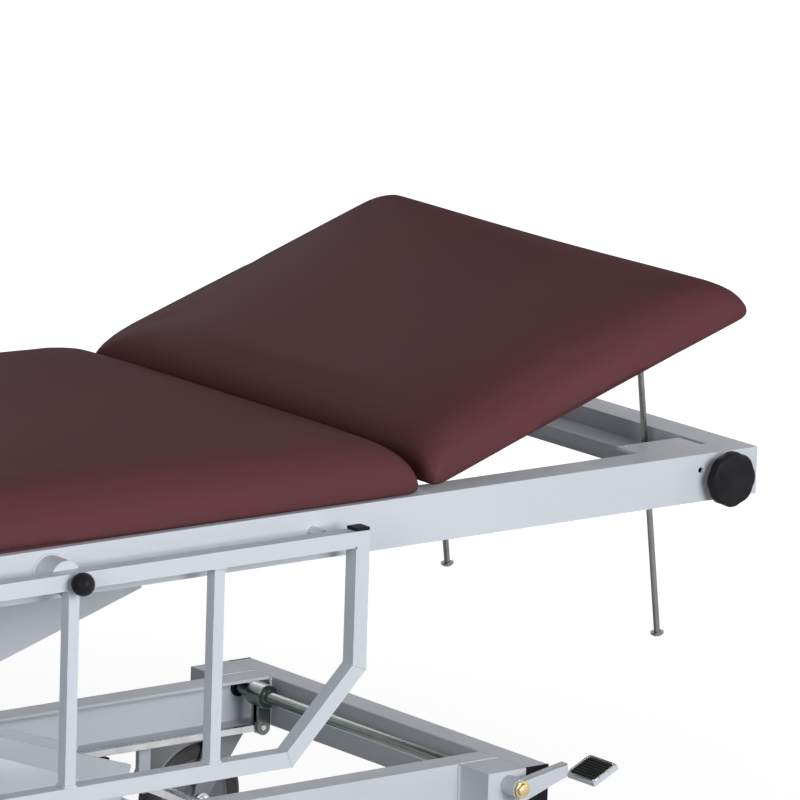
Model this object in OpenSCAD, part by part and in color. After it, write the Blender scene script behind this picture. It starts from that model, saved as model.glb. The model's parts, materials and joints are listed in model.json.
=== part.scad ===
// Patient transport stretcher: two mattress sections on a deck frame,
// carried by a foot-pumped scissor lift on a base with four swivel castors.
// The origin is on the floor under the middle of the deck, +X points to the head end.

/* [Deck frame] */
// Overall length of the deck frame
deck_len = 2150; // [1900:10:2300]
// Overall width of the deck frame
deck_w = 720; // [660:10:800]
// Height of the deck rails' top face above the floor
rail_top = 620; // [600:5:680]
// Height of the rectangular deck rails
rail_h = 60; // [54:2:70]
// Width of the rectangular deck rails
rail_w = 45; // [36:1:50]
// Wall of the deck tubes
tube_wall = 2.5; // [2:0.5:4]
// Width of the cross tubes under the mattress
bearer_w = 40; // [30:2:50]

/* [Mattress] */
// Height of a mattress section above the rails, at its edge
pad_h = 63; // [52:1:80]
// How far the middle of the mattress stands above its edge
pad_crown = 11; // [3:1:14]
// How far the rounded edge reaches in from the side
pad_edge = 50; // [40:1:60]
// Corner radius of a mattress section seen from above
pad_corner = 54; // [30:2:80]
// How far the sides pull in between the corners
pad_draw = 4; // [1:1:8]
// How far the mattress stands out past the rails on each side
pad_over = 3; // [0:1:8]
// Thickness of the plywood boards
board_t = 12; // [9:1:18]
// Room between the hinge line and the end of each mattress section
pad_gap = 6; // [6:1:16]

/* [Backrest] */
// Distance of the backrest hinge from the head end of the deck
hinge_from_head = 517; // [450:1:650]
// Length of the backrest from its hinge line to its tip
back_len = 529; // [450:1:650]
// Angle of the backrest as it stands
back_angle = 18.4; // [0:0.1:45]
// Height of the hinge line above the rails
hinge_rise = 7; // [6:0.5:12]

/* [Support rods] */
// Diameter of the two support rods
rod_d = 8; // [6:1:12]
// Length of a support rod from its eye to its button
rod_len = 403; // [360:1:450]
// Distance of each rod from the middle of the deck
rod_y = 215; // [150:5:260]
// Distance of the rod eyes from the hinge line, along the backrest
rod_eye_u = 455; // [400:1:480]
// Diameter of the button on the rod's lower end
rod_button_d = 17; // [12:1:24]

/* [Clamp knobs] */
// Diameter of a clamp knob
knob_d = 70; // [50:1:80]
// Thickness of the knob's rim
knob_t = 17; // [12:1:25]
// Distance of the knobs from the head end of the deck
knob_from_head = 58; // [50:1:70]
// Depth of the knob axis below the rails' top face
knob_drop = 31; // [26:1:34]
// Diameter of the clamp spindle
spindle_d = 8; // [6:1:8]

/* [Side guards] */
// Length of a guard between the middles of its end posts
guard_len = 836; // [600:4:1000]
// Height of a guard between the middles of its long tubes
guard_h = 257; // [200:1:300]
// Width of the square guard tubes
guard_tube = 20; // [16:1:25]
// Width of the square inner bars
guard_bar = 15; // [10:1:20]
// Size of the cut corners, along each side
guard_chamfer = 100; // [60:5:140]
// Room between a guard and its rail
guard_gap = 35; // [25:1:50]
// Depth of the guards' turning axis below the rails' top face
guard_drop = 27; // [24:1:30]
// Diameter of the boss that carries a guard
boss_d = 42; // [30:1:46]
// Distance of a guard's rest studs from its axis
stud_at = 385; // [300:5:400]
// Diameter of a rest stud
stud_d = 18; // [12:1:22]
// Diameter of the ball on a guard's release plunger
ball_d = 28; // [20:1:35]

/* [Base frame] */
// Overall length of the base frame
base_len = 1600; // [1500:4:1700]
// Overall width of the base frame
base_w = 620; // [560:4:660]
// Height of the base frame's top face above the floor
base_top = 239; // [230:1:260]
// Height of the base members
base_h = 65; // [60:1:80]
// Width of the side channels
side_w = 35; // [30:1:40]
// Width of the end tubes
cross_w = 36; // [30:1:50]
// Wall of the base members
base_wall = 4; // [3:0.5:5]
// Size of a castor block across the base
block_w = 58; // [50:1:70]
// Size of a castor block along the base
block_len = 59; // [50:1:70]

/* [Castors] */
// Diameter of the castor wheels
wheel_d = 150; // [125:5:150]
// Width of the tyres
tyre_w = 32; // [26:1:36]
// Trail of a castor wheel behind its stem
castor_trail = 49; // [35:1:55]
// Diameter of a castor stem
stem_d = 28; // [22:1:32]

/* [Brake] */
// Distance of a brake shaft from the nearby end tube
brake_in = 28; // [24:1:34]
// Depth of the brake shafts below the base's top face
brake_drop = 17; // [16:1:19]
// Diameter of a brake shaft
brake_d = 16; // [12:1:18]
// Length of the levers that the brake link joins
brake_lever = 42; // [40:1:43]
// Rise of the pedal arm towards its pad, in degrees
pedal_slope = 10.6; // [8:0.2:20]
// Distance from the brake shaft to the middle of the pedal's pad
pedal_reach = 92; // [80:1:120]
// Size of the pedal's rubber pad across the base
pedal_pad_w = 47; // [40:1:60]

/* [Lift] */
// Length of a scissor arm between its end axes
arm_len = 1000; // [960:5:1020]
// Slope of the scissor arms as they stand, in degrees
arm_rest = 17.5; // [16:0.5:19]
// Distance of the fixed arm ends from the middle of the deck
arm_x = 303; // [280:1:320]
// Thickness of the arm plates
arm_t = 8; // [6:1:9]
// Height of the arm plates
arm_h = 85; // [70:1:90]
// Diameter of the fixed lift shafts
shaft_d = 25; // [20:1:30]
// Distance of the lower arms' outer faces from the middle
lower_arm_y = 60; // [56:1:62]
// How far the arms turn down from rest, in degrees
lift_down = 7.6; // [4:0.1:7.6]
// How far the arms turn up from rest, in degrees
lift_up = 13.2; // [6:0.1:14]

/* [Pump] */
// Diameter of the lifting ram's barrel
barrel_d = 50; // [40:1:56]
// Diameter of the lifting ram's rod
ram_rod_d = 28; // [20:1:32]
// Distance of the pump pedals' shaft from the middle of the deck
pump_x = 574; // [540:1:578]
// Height of the pump pedals' shaft above the floor
pump_z = 120; // [110:1:130]

/* [Hidden] */
$fn = 48;

// Colours of the painted, plated and moulded pieces
paint = [0.80, 0.83, 0.86];
zinc = [0.72, 0.74, 0.76];
plastic = [0.06, 0.06, 0.07];
rubber = [0.10, 0.10, 0.11];
vinyl = [0.33, 0.20, 0.22];
plywood = [0.72, 0.58, 0.40];
castor_grey = [0.55, 0.57, 0.58];

// Overrun of every cut, and the clearances of running and resting faces
cut = 1;
run_clear = 0.05;
face_gap = 0.3;

// Places worked out from the driving sizes
half_len = deck_len / 2;
half_w = deck_w / 2;
rail_bottom = rail_top - rail_h;
rail_in = half_w - rail_w;
hinge_x = half_len - hinge_from_head;
hinge_z = rail_top + hinge_rise;
guard_z = rail_top - guard_drop;
guard_back = half_w + guard_gap;
guard_front = guard_back + guard_tube;
knob_x = half_len - knob_from_head;
knob_z = rail_top - knob_drop;
base_half = base_len / 2;
base_low = base_top - base_h;
side_out = base_w / 2 - block_w;
side_in = side_out - side_w;
side_end = base_half - cross_w;
castor_x = side_end - block_len / 2;
castor_y = side_out + block_w / 2;
brake_x = side_end - brake_in;
brake_z = base_top - brake_drop;

// Small sizes of the deck
end_t = 3;
corner_plate_t = 4;
corner_plate_w = 43;
corner_plate_len = 100;
corner_plate_from_head = 54;
corner_hole_d = 5;
corner_hole_in = 9;
rail_hole_d = 7;
rail_hole_from_head = 91;
rail_hole_drop = 20;

// Small sizes of the mattress
pad_tuck = 3;
pad_flat = 8;
crown_power = 3.2;
board_in = 10;

// Small sizes of the hinge
knuckle_d = 10;
knuckle_w = 30;
leaf_t = 3;
leaf_len = 60;
leaf_gap = 0.5;
hinge_pin_d = 5;
hinge_y = 230;

// Small sizes of the rods, their eyes and their guide
rod_eye_over = 0.5;
rod_eye_wall = 2;
rod_eye_d = rod_d + 2 * rod_eye_wall;
rod_eye_t = rod_d + 2 * rod_eye_over;
rod_pin_d = 6;
ear_t = 3;
bracket_len = 32;
bracket_t = 3;
rod_eye_drop = hinge_rise + bracket_t + rod_eye_d / 2;
rod_button_h = 5;
guide_w = 45;
guide_h = 14;
guide_t = 3;
guide_drop = 23;
slot_len = 24;
slot_w = 9;
slot_from_cross = 18;

// Small sizes of the knobs, studs and plungers
knob_neck_d = 30;
knob_neck_len = 13;
knob_dome = 3;
knob_lobes = 8;
lobe_cut_d = 30;
lobe_cut_depth = 3;
sleeve_d = 20;
plunger_d = 8;
plunger_in = 12;
stud_in = 20;
cap_t = 4;

// Small sizes of the base and castors
plug_t = 3;
plug_in = 15;
stem_bore = 34;
stem_len = 32;
crown_d = 58;
crown_t = 14;
crown_gap = 2;
leg_t = 4;
leg_gap = 4;
leg_top_w = 40;
axle_boss_d = 26;
axle_d = 12;
axle_head_d = 19;
axle_head_t = 5;
hub_d = 104;
hub_web = 18;
hub_boss_d = 32;
tyre_round = 9;
guard_ring_t = 3;
guard_ring_gap = 3;
guard_ring_sweep = 100;

// Small sizes of the brake
bush_wall = 3;
bush_flange_d = 2 * (brake_drop - base_wall - face_gap);
bush_flange_t = 3;
collar_d = 31;
collar_w = 28;
fork_t = 4;
fork_w = 20;
link_t = 6;
link_h = 9;
link_pin_d = 8;
link_gap = 0.5;
hub_pedal_d = 24;
hub_pedal_w = 28;
pedal_bolt_d = 13;
pedal_bolt_h = 5;
pedal_rise = 10;
pedal_web_t = 5;
pedal_web_h = 26;
pedal_tip_h = 16;
pedal_flange_w = 10;
pedal_flange_t = 4;
pedal_tilt = 15.4;
pedal_pad_len = 35;
pedal_pad_t = 5;
pedal_rib_h = 2;
pedal_ribs = 7;
pedal_rim = 3;
pump_slope = 16;

// Small sizes of the lift
arm_over = 28;
arm_below = 35;
upper_below = 45;
arm_corner = 30;
plate_gap = 6;
lug_gap = 4;
lug_w = 50;
shaft_collar_d = 38;
shaft_collar_w = 7;
mid_pin_d = 20;
arm_tube_d = 30;
lower_tube_in = 130;
upper_tube_in = 150;
foot_tube_in = 60;
roller_shaft_d = 20;
roller_w = 22;
deck_roller_d = 50;
track_wall = 4;
track_w = 36;
track_over = 16;
roller_gap = 2;

// Small sizes of the pump, its pedals and the ram
carrier_t = 6;
carrier_x = -500;
carrier_len = 120;
hanger_w = 18;
hanger_t = 8;
hanger_from_side = 18;
ram_low_x = -400;
ram_low_z = 190;
ram_eye_u = 250;
ram_eye_v = 28;
ram_pin_d = 16;
ram_eye_t = 40;
ram_eye_d = 50;
ram_eye_slack = 7.5;
ram_tail_d = 32;
ram_neck_d = 28;
ram_neck_len = 8;
barrel_len = 330;
barrel_wall = 5;
gland_len = 14;
piston_len = 20;
piston_from_tail = 110;
ear_gap = 3;
pump_ear_t = 8;
reservoir_len = 50;
reservoir_w = 90;
reservoir_h = 56;
reservoir_from_ear = 30;
pump_shaft_d = 16;
pump_arm_len = 46;
pump_arm_t = 12;
pump_arm_y = 318;
pump_pad_len = 64;
pump_pad_w = 56;
pump_pad_t = 12;
pump_lever = 30;
pump_lever_w = 18;
pump_lever_t = 6;
pump_link_d = 10;
pump_link_slack = 2.4;
pump_cyl_d = 34;
pump_cyl_len = 60;
cover_t = 2.5;
cover_x0 = -430;
cover_x1 = 215;
cover_step_x = -155;
cover_low = 30;
cover_high = 161;

// Scissor geometry
roller_drop = 4.4;
base_roller_d = base_h - 2 * base_wall - 2 * face_gap - roller_drop;
arm_low_z = base_low + base_wall + face_gap + base_roller_d / 2;
arm_high_z = arm_low_z + arm_len * sin(arm_rest);
arm_foot_x = arm_x - arm_len * cos(arm_rest);
lower_in = lower_arm_y - arm_t;
upper_in = lower_arm_y + plate_gap;
upper_out = upper_in + arm_t;
lug_in = upper_out + lug_gap;
lug_out = lug_in + arm_t;
roller_y0 = side_in + roller_gap;
track_in = lug_out + lug_gap;
track_out = track_in + track_w;
track_x0 = arm_x - arm_len * cos(arm_rest - lift_down) - deck_roller_d / 2 - track_over;
track_x1 = arm_x - arm_len * cos(arm_rest + lift_up) + deck_roller_d / 2 + track_over;
track_top = arm_high_z + deck_roller_d / 2 + face_gap + track_wall;
track_low = arm_high_z - deck_roller_d / 2 - face_gap - track_wall;

// Rod geometry: eye place, guide place and lean as the backrest stands
rod_eye_x = hinge_x + rod_eye_u * cos(back_angle) + rod_eye_drop * sin(back_angle);
rod_eye_z = hinge_z + rod_eye_u * sin(back_angle) - rod_eye_drop * cos(back_angle);
guide_x = half_len - rail_w - guide_w;
guide_z = rail_top - guide_drop - guide_h;
rod_pass_in = 14;
rod_pass_rise = 4;
rod_pass_x = half_len - rail_w - rod_pass_in;
rod_pass_z = guide_z + rod_pass_rise;
rod_lean = atan2(rod_pass_x - rod_eye_x, rod_eye_z - rod_pass_z);

// Ram geometry: from its lower pin to the pin on the lower arms
ram_high_x = arm_x - ram_eye_u * cos(arm_rest) + ram_eye_v * sin(arm_rest);
ram_high_z = arm_low_z + ram_eye_u * sin(arm_rest) + ram_eye_v * cos(arm_rest);
ram_slope = atan2(ram_high_z - ram_low_z, ram_high_x - ram_low_x);
ram_len = norm([ram_high_x - ram_low_x, ram_high_z - ram_low_z]);

// Box between two corners
module block(x0, x1, y0, y1, z0, z1) {
    translate([x0, y0, z0]) cube([x1 - x0, y1 - y0, z1 - z0]);
}

// Round bar along the width, between two distances from the middle
module y_bar(d, y0, y1, x, z) {
    translate([x, y0, z]) rotate([-90, 0, 0]) cylinder(d = d, h = y1 - y0);
}

// The same shape on the near side, and its twin on the far side
module both_sides() {
    children();
    mirror([0, 1, 0]) children();
}

// Open-ended square tube along the length
module x_tube(x0, x1, y0, y1, z0, z1, wall) {
    difference() {
        block(x0, x1, y0, y1, z0, z1);
        block(x0 - cut, x1 + cut, y0 + wall, y1 - wall, z0 + wall, z1 - wall);
    }
}

// Open-ended square tube across the width
module y_tube(x0, x1, y0, y1, z0, z1, wall) {
    difference() {
        block(x0, x1, y0, y1, z0, z1);
        block(x0 + wall, x1 - wall, y0 - cut, y1 + cut, z0 + wall, z1 - wall);
    }
}

// Flat shape drawn in length and height, standing between two widths
module upright(y0, y1) {
    translate([0, y1, 0]) rotate([90, 0, 0]) linear_extrude(y1 - y0) children();
}

// Deck rail on the far side, with the boss of its guard
module deck_rail() {
    color(paint) difference() {
        union() {
            x_tube(-half_len + end_t, half_len - end_t, rail_in, half_w,
                rail_bottom, rail_top, tube_wall);
            y_bar(boss_d, half_w - tube_wall, guard_back - face_gap, 0, guard_z);
        }
        y_bar(sleeve_d + 2 * run_clear, half_w - tube_wall - cut, guard_back + cut, 0, guard_z);
        for (sx = [-1, 1])
            y_bar(stud_d + 2 * run_clear, half_w - tube_wall - cut, half_w + cut,
                sx * stud_at, guard_z);
        y_bar(spindle_d + 2 * run_clear, rail_in - cut, half_w + cut, knob_x, knob_z);
        y_bar(rail_hole_d, half_w - tube_wall - cut, half_w + cut,
            half_len - rail_hole_from_head, rail_top - rail_hole_drop);
    }
}

module deck_rail_near() { mirror([0, 1, 0]) deck_rail(); }
module deck_rail_far() { deck_rail(); }

// Cross tube of the deck with its middle at x
module bearer(x) {
    y_tube(x - bearer_w / 2, x + bearer_w / 2, -rail_in, rail_in,
        rail_bottom, rail_top, tube_wall);
}

// Lug that hangs from a cross tube and carries the upper arm shaft
module pivot_lug() {
    difference() {
        union() {
            block(arm_x - lug_w / 2, arm_x + lug_w / 2, lug_in, lug_out, arm_high_z, rail_bottom);
            y_bar(lug_w, lug_in, lug_out, arm_x, arm_high_z);
        }
        y_bar(shaft_d + 2 * run_clear, lug_in - cut, lug_out + cut, arm_x, arm_high_z);
    }
}

// Channel that the deck rollers run in, with its two hangers
module deck_track() {
    difference() {
        block(track_x0, track_x1, track_in, track_out, track_low, track_top);
        block(track_x0 - cut, track_x1 + cut, track_in - cut, track_out - track_wall,
            track_low + track_wall, track_top - track_wall);
    }
    for (x = [track_x0, track_x1 - bearer_w])
        block(x, x + bearer_w, track_in, track_out, track_top, rail_bottom);
}

// Flat plate let in between rail and end tube, with an accessory hole
module corner_plate() {
    x1 = half_len - corner_plate_from_head;
    x0 = x1 - corner_plate_len;
    difference() {
        block(x0, x1, rail_in - corner_plate_w, rail_in, rail_top - corner_plate_t, rail_top);
        translate([x0 + corner_hole_in, rail_in - corner_plate_w + corner_hole_in,
            rail_top - corner_plate_t - cut])
            cylinder(d = corner_hole_d, h = corner_plate_t + 2 * cut);
    }
}

module deck_cross_tubes() {
    color(paint) {
        for (x = [half_len - rail_w, -half_len])
            y_tube(x, x + rail_w, -rail_in, rail_in, rail_bottom, rail_top, tube_wall);
        for (x = [hinge_x, arm_x, track_x0 + bearer_w / 2, track_x1 - bearer_w / 2])
            bearer(x);
        both_sides() {
            pivot_lug();
            deck_track();
            corner_plate();
            for (x = [-half_len, half_len - end_t])
                block(x, x + end_t, rail_in, half_w, rail_bottom, rail_top);
        }
    }
}

module upper_arm_shaft() {
    color(zinc) {
        y_bar(shaft_d, -lug_out, lug_out, arm_x, arm_high_z);
        both_sides()
            y_bar(shaft_collar_d, upper_in - face_gap - shaft_collar_w, upper_in - face_gap,
                arm_x, arm_high_z);
    }
}

// Channel inside the head end that steadies the support rods
module rod_guide() {
    slot_x = half_len - rail_w - slot_from_cross;
    color(paint) difference() {
        block(guide_x, guide_x + guide_w, -rail_in, rail_in, guide_z, guide_z + guide_h);
        block(guide_x + guide_t, guide_x + guide_w - guide_t, -rail_in - cut, rail_in + cut,
            guide_z - cut, guide_z + guide_h - guide_t);
        both_sides()
            for (sx = [-1, 1]) translate([slot_x, rod_y, guide_z]) {
                translate([sx * (slot_len - slot_w) / 2, 0, 0])
                    cylinder(d = slot_w, h = guide_h + cut);
                translate([-(slot_len - slot_w) / 2, -slot_w / 2, 0])
                    cube([slot_len - slot_w, slot_w, guide_h + cut]);
            }
    }
}

module guard_studs() {
    color(zinc) both_sides()
        for (sx = [-1, 1])
            y_bar(stud_d, half_w - stud_in, guard_back - face_gap, sx * stud_at, guard_z);
}

// Corner points of the guard's outline, offset from its middle line
function guard_outline(o) =
    let (g = guard_len / 2, k = o * tan(22.5), low = guard_z - guard_h)
    [
        [-g - o, guard_z + o], [g + o, guard_z + o],
        [g + o, low + guard_chamfer - k], [g - guard_chamfer + k, low - o],
        [-g + guard_chamfer - k, low - o], [-g - o, low + guard_chamfer - k]
    ];

// Guard on the far side, in its lowered place
module side_guard() {
    mid = (guard_back + guard_front) / 2;
    color(paint) difference() {
        union() {
            upright(guard_back, guard_front) difference() {
                polygon(guard_outline(guard_tube / 2));
                polygon(guard_outline(-guard_tube / 2));
            }
            for (i = [-1, 0, 1])
                block(i * guard_len / 4 - guard_bar / 2, i * guard_len / 4 + guard_bar / 2,
                    mid - guard_bar / 2, mid + guard_bar / 2,
                    guard_z - guard_h, guard_z);
            y_bar(sleeve_d, half_w - stud_in, mid, 0, guard_z);
        }
        y_bar(plunger_d + 2 * run_clear, half_w - stud_in - cut, guard_front + cut, 0, guard_z);
    }
}

module guard_caps() {
    color(plastic)
        for (sx = [-1, 1])
            block(sx * guard_len / 2 - guard_tube / 2, sx * guard_len / 2 + guard_tube / 2,
                guard_back, guard_front,
                guard_z + guard_tube / 2, guard_z + guard_tube / 2 + cap_t);
}

// Release plunger: a ball on a pin that runs through the guard's sleeve
module guard_plunger() {
    y_ball = guard_front + ball_d / 2 + face_gap;
    color(plastic) {
        y_bar(plunger_d, half_w - stud_in - plunger_in, y_ball, 0, guard_z);
        translate([0, y_ball, guard_z]) sphere(d = ball_d);
    }
}

module guard_near() { mirror([0, 1, 0]) side_guard(); }
module guard_far() { side_guard(); }
module guard_caps_near() { mirror([0, 1, 0]) guard_caps(); }
module guard_caps_far() { guard_caps(); }
module guard_plunger_near() { mirror([0, 1, 0]) guard_plunger(); }
module guard_plunger_far() { guard_plunger(); }

// Lobed clamp knob with the spindle that presses on a support rod
module clamp_knob() {
    neck_y = half_w + face_gap;
    rim_y = neck_y + knob_neck_len;
    color(plastic) {
        y_bar(spindle_d, rod_y + rod_d / 2 + face_gap, rim_y + knob_t / 2, knob_x, knob_z);
        y_bar(knob_neck_d, neck_y, rim_y + knob_t / 2, knob_x, knob_z);
        translate([knob_x, rim_y, knob_z]) rotate([-90, 0, 0]) difference() {
            rotate_extrude($fn = 64) polygon([
                [0, 0], [knob_d / 2 - knob_dome, 0], [knob_d / 2, knob_dome],
                [knob_d / 2, knob_t - 2 * knob_dome], [knob_d / 2 - knob_dome, knob_t - knob_dome],
                [knob_d / 3, knob_t - knob_dome / 2], [0, knob_t]
            ]);
            for (i = [0 : knob_lobes - 1]) rotate([0, 0, (i + 0.5) * 360 / knob_lobes])
                translate([knob_d / 2 + lobe_cut_d / 2 - lobe_cut_depth, 0, -cut])
                    cylinder(d = lobe_cut_d, h = knob_t + 2 * cut);
        }
    }
}

module clamp_knob_near() { mirror([0, 1, 0]) clamp_knob(); }
module clamp_knob_far() { clamp_knob(); }

// One level of a cushion's outline: a rounded rectangle whose sides pull in
corner_steps = 5;
side_steps = 6;
function pad_level(len, wid, inset, z, draw) =
    let (
        a = len / 2, b = wid / 2, r = max(pad_corner - inset, pad_tuck),
        ca = a - inset - r, cb = b - inset - r,
        signs = [[1, 1], [-1, 1], [-1, -1], [1, -1]]
    )
    [
        for (q = [0 : 3]) let (sx = signs[q][0], sy = signs[q][1], n = signs[(q + 1) % 4])
            each concat(
                [for (i = [0 : corner_steps]) let (w = 90 * (q + i / corner_steps))
                    [sx * ca + r * cos(w), sy * cb + r * sin(w), z]],
                [for (i = [1 : side_steps - 1])
                    let (
                        t = i / side_steps, w = 90 * (q + 1), pull = draw * 4 * t * (1 - t),
                        x = ca * (sx + (n[0] - sx) * t), y = cb * (sy + (n[1] - sy) * t)
                    )
                    [x + (r - pull) * cos(w), y + (r - pull) * sin(w), z]]
            )
    ];

// Crowned cushion with its middle at the origin and its underside at height zero
module cushion(len, wid) {
    rise = pad_h - pad_flat;
    steps = 6;
    crown_shares = [0.07, 0.17, 0.3, 0.46, 0.68, 0.94];
    inner = min(len, wid) / 2 - pad_edge;
    levels = concat(
        [pad_level(len, wid, pad_tuck, 0, 0)],
        [pad_level(len, wid, 0, pad_flat / 2, pad_draw)],
        [for (i = [0 : steps]) let (w = 90 * i / steps)
            pad_level(len, wid, pad_edge * (1 - cos(w)), pad_flat + rise * sin(w),
                pad_draw * cos(w))],
        [for (s = crown_shares)
            pad_level(len, wid, pad_edge + inner * s,
                pad_h + pad_crown * (1 - pow(1 - s, crown_power)), 0)]
    );
    n = len(levels[0]);
    m = len(levels);
    top = m * n;
    points = concat([for (level = levels) each level], [[0, 0, pad_h + pad_crown], [0, 0, 0]]);
    faces = concat(
        [for (k = [0 : m - 2], i = [0 : n - 1]) let (j = (i + 1) % n)
            each [
                [k * n + i, (k + 1) * n + i, (k + 1) * n + j],
                [k * n + i, (k + 1) * n + j, k * n + j]
            ]],
        [for (i = [0 : n - 1]) let (j = (i + 1) % n) [(m - 1) * n + i, top, (m - 1) * n + j]],
        [for (i = [0 : n - 1]) let (j = (i + 1) % n) [j, top + 1, i]]
    );
    polyhedron(points, faces);
}

// Cushion with room for its board, from its hinge end to its far end
module pad_on_board(len) {
    difference() {
        translate([pad_gap + (len - pad_gap) / 2, 0, 0])
            cushion(len - pad_gap, deck_w + 2 * pad_over);
        translate([0, 0, -cut]) board_shape(len, board_t + face_gap + cut, face_gap);
        leaf_recess();
    }
}

// Plywood board of a mattress section with round corners, grown by a clearance
board_steps = 6;
module board_shape(len, t, grow) {
    r = max(pad_corner - board_in, board_in);
    x0 = pad_gap + board_in + r;
    x1 = len - board_in - r;
    y = half_w - board_in - r;
    corners = [[x1, y], [x0, y], [x0, -y], [x1, -y]];
    linear_extrude(t) polygon([
        for (q = [0 : 3], i = [0 : board_steps]) let (w = 90 * (q + i / board_steps))
            corners[q] + (r + grow) * [cos(w), sin(w)]
    ]);
}

seat_len = hinge_x + half_len;

// Turns a backrest piece, drawn flat from its hinge line, to its standing angle
module on_backrest() {
    translate([hinge_x, 0, hinge_z]) rotate([0, -back_angle, 0])
        translate([0, 0, -hinge_rise + face_gap]) children();
}

// Turns a seat piece, drawn from its hinge line, towards the foot end
module on_seat() {
    translate([hinge_x, 0, rail_top]) mirror([1, 0, 0]) children();
}

// Recess for the hinge leaves in the underside of a board and its cushion
module leaf_recess() {
    both_sides()
        block(-cut, leaf_len + leaf_gap,
            hinge_y - 2 * knuckle_w, hinge_y + 2 * knuckle_w, -cut, leaf_t + leaf_gap);
}

module seat_board() {
    color(plywood) on_seat() difference() {
        board_shape(seat_len, board_t, 0);
        leaf_recess();
    }
}

module seat_pad() {
    color(vinyl) on_seat() pad_on_board(seat_len);
}

module backrest_board() {
    color(plywood) on_backrest() difference() {
        board_shape(back_len, board_t, 0);
        leaf_recess();
    }
}

module backrest_pad() {
    color(vinyl) on_backrest() pad_on_board(back_len);
}

// Hinge halves: the deck holds the middle knuckle and the pin, the backrest the outer two
module hinge_leaves() {
    color(zinc) both_sides() {
        block(hinge_x - leaf_len, hinge_x, hinge_y - knuckle_w / 2, hinge_y + knuckle_w / 2,
            rail_top, rail_top + leaf_t);
        y_bar(knuckle_d, hinge_y - knuckle_w / 2, hinge_y + knuckle_w / 2, hinge_x, hinge_z);
        y_bar(hinge_pin_d, hinge_y - knuckle_w * 1.5, hinge_y + knuckle_w * 1.5, hinge_x, hinge_z);
    }
}

module backrest_leaves() {
    color(zinc) on_backrest() both_sides() for (s = [-1, 1])
        translate([0, hinge_y + s * knuckle_w + s * face_gap / 2, 0]) difference() {
            union() {
                block(0, leaf_len, -knuckle_w / 2 + face_gap, knuckle_w / 2 - face_gap, 0, leaf_t);
                y_bar(knuckle_d, -knuckle_w / 2 + face_gap, knuckle_w / 2 - face_gap,
                    0, hinge_rise - face_gap);
            }
            y_bar(hinge_pin_d + 2 * run_clear, -knuckle_w, knuckle_w, 0, hinge_rise - face_gap);
        }
}

// Eye place under the backrest board, in the backrest's own drawing
eye_v = hinge_rise - face_gap - rod_eye_drop;

module rod_brackets() {
    ear_in = rod_eye_t / 2 + face_gap;
    color(zinc) on_backrest() both_sides() translate([rod_eye_u, rod_y, 0]) {
        translate([-bracket_len / 2, -bracket_len / 2, -bracket_t])
            cube([bracket_len, bracket_len, bracket_t]);
        for (s = [-1, 1]) {
            y0 = s > 0 ? ear_in : -ear_in - ear_t;
            translate([-rod_eye_d / 2, y0, eye_v]) cube([rod_eye_d, ear_t, -eye_v - bracket_t / 2]);
            y_bar(rod_eye_d, y0, y0 + ear_t, 0, eye_v);
        }
        y_bar(rod_pin_d, -ear_in - ear_t, ear_in + ear_t, 0, eye_v);
    }
}

// Two rods that hang from the backrest through the guide
module support_rods() {
    color(zinc) both_sides()
        translate([rod_eye_x, rod_y, rod_eye_z]) rotate([0, -rod_lean, 0]) difference() {
            union() {
                translate([0, 0, -rod_len]) cylinder(d = rod_d, h = rod_len);
                y_bar(rod_eye_d, -rod_eye_t / 2, rod_eye_t / 2, 0, 0);
                translate([0, 0, -rod_len]) rotate_extrude() polygon([
                    [0, -rod_button_h], [rod_button_d / 3, -rod_button_h],
                    [rod_button_d / 2, -rod_button_h / 2], [rod_button_d / 2, 0], [0, 0]
                ]);
            }
            y_bar(rod_pin_d + 2 * run_clear, -rod_d, rod_d, 0, 0);
        }
}

// Side channel on the far side, open towards the middle
module base_side() {
    color(paint) difference() {
        block(-side_end, side_end, side_in, side_out, base_low, base_top);
        block(-side_end - cut, side_end + cut, side_in - cut, side_out - base_wall,
            base_low + base_wall, base_top - base_wall);
        for (sx = [-1, 1])
            y_bar(bush_d(), side_out - base_wall - cut, side_out + cut, sx * brake_x, brake_z);
        y_bar(shaft_d + 2 * run_clear, side_out - base_wall - cut, side_out + cut,
            arm_x, arm_low_z);
    }
}

// Outer diameter of the brake bushes
function bush_d() = brake_d + 2 * bush_wall;

module base_side_near() { mirror([0, 1, 0]) base_side(); }
module base_side_far() { base_side(); }

module base_end_tubes() {
    color(paint) for (x = [-base_half, side_end])
        y_tube(x, x + cross_w, -base_w / 2 + plug_t, base_w / 2 - plug_t,
            base_low, base_top, base_wall);
}

module base_tube_plugs() {
    y1 = base_w / 2;
    color(plastic) both_sides() for (x = [-base_half, side_end]) {
        block(x, x + cross_w, y1 - plug_t, y1, base_low, base_top);
        block(x + base_wall + face_gap, x + cross_w - base_wall - face_gap,
            y1 - plug_t - plug_in, y1 - plug_t,
            base_low + base_wall + face_gap, base_top - base_wall - face_gap);
    }
}

module castor_blocks() {
    color(paint) both_sides() for (sx = [-1, 1]) difference() {
        block(sx * castor_x - block_len / 2, sx * castor_x + block_len / 2,
            side_out, side_out + block_w, base_low, base_top);
        translate([sx * castor_x, castor_y, base_low - cut])
            cylinder(d = stem_d, h = stem_bore + cut);
        y_bar(bush_d(), side_out - cut, side_out + block_w + cut, sx * brake_x, brake_z);
    }
}

module brake_bushes() {
    color(plastic) both_sides() for (sx = [-1, 1]) difference() {
        union() {
            y_bar(bush_d() - 2 * run_clear, side_out - base_wall, side_out + block_w,
                sx * brake_x, brake_z);
            y_bar(bush_flange_d, side_out - base_wall - bush_flange_t, side_out - base_wall,
                sx * brake_x, brake_z);
        }
        y_bar(brake_d + 2 * run_clear, side_in, side_out + block_w + cut, sx * brake_x, brake_z);
    }
}

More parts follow.
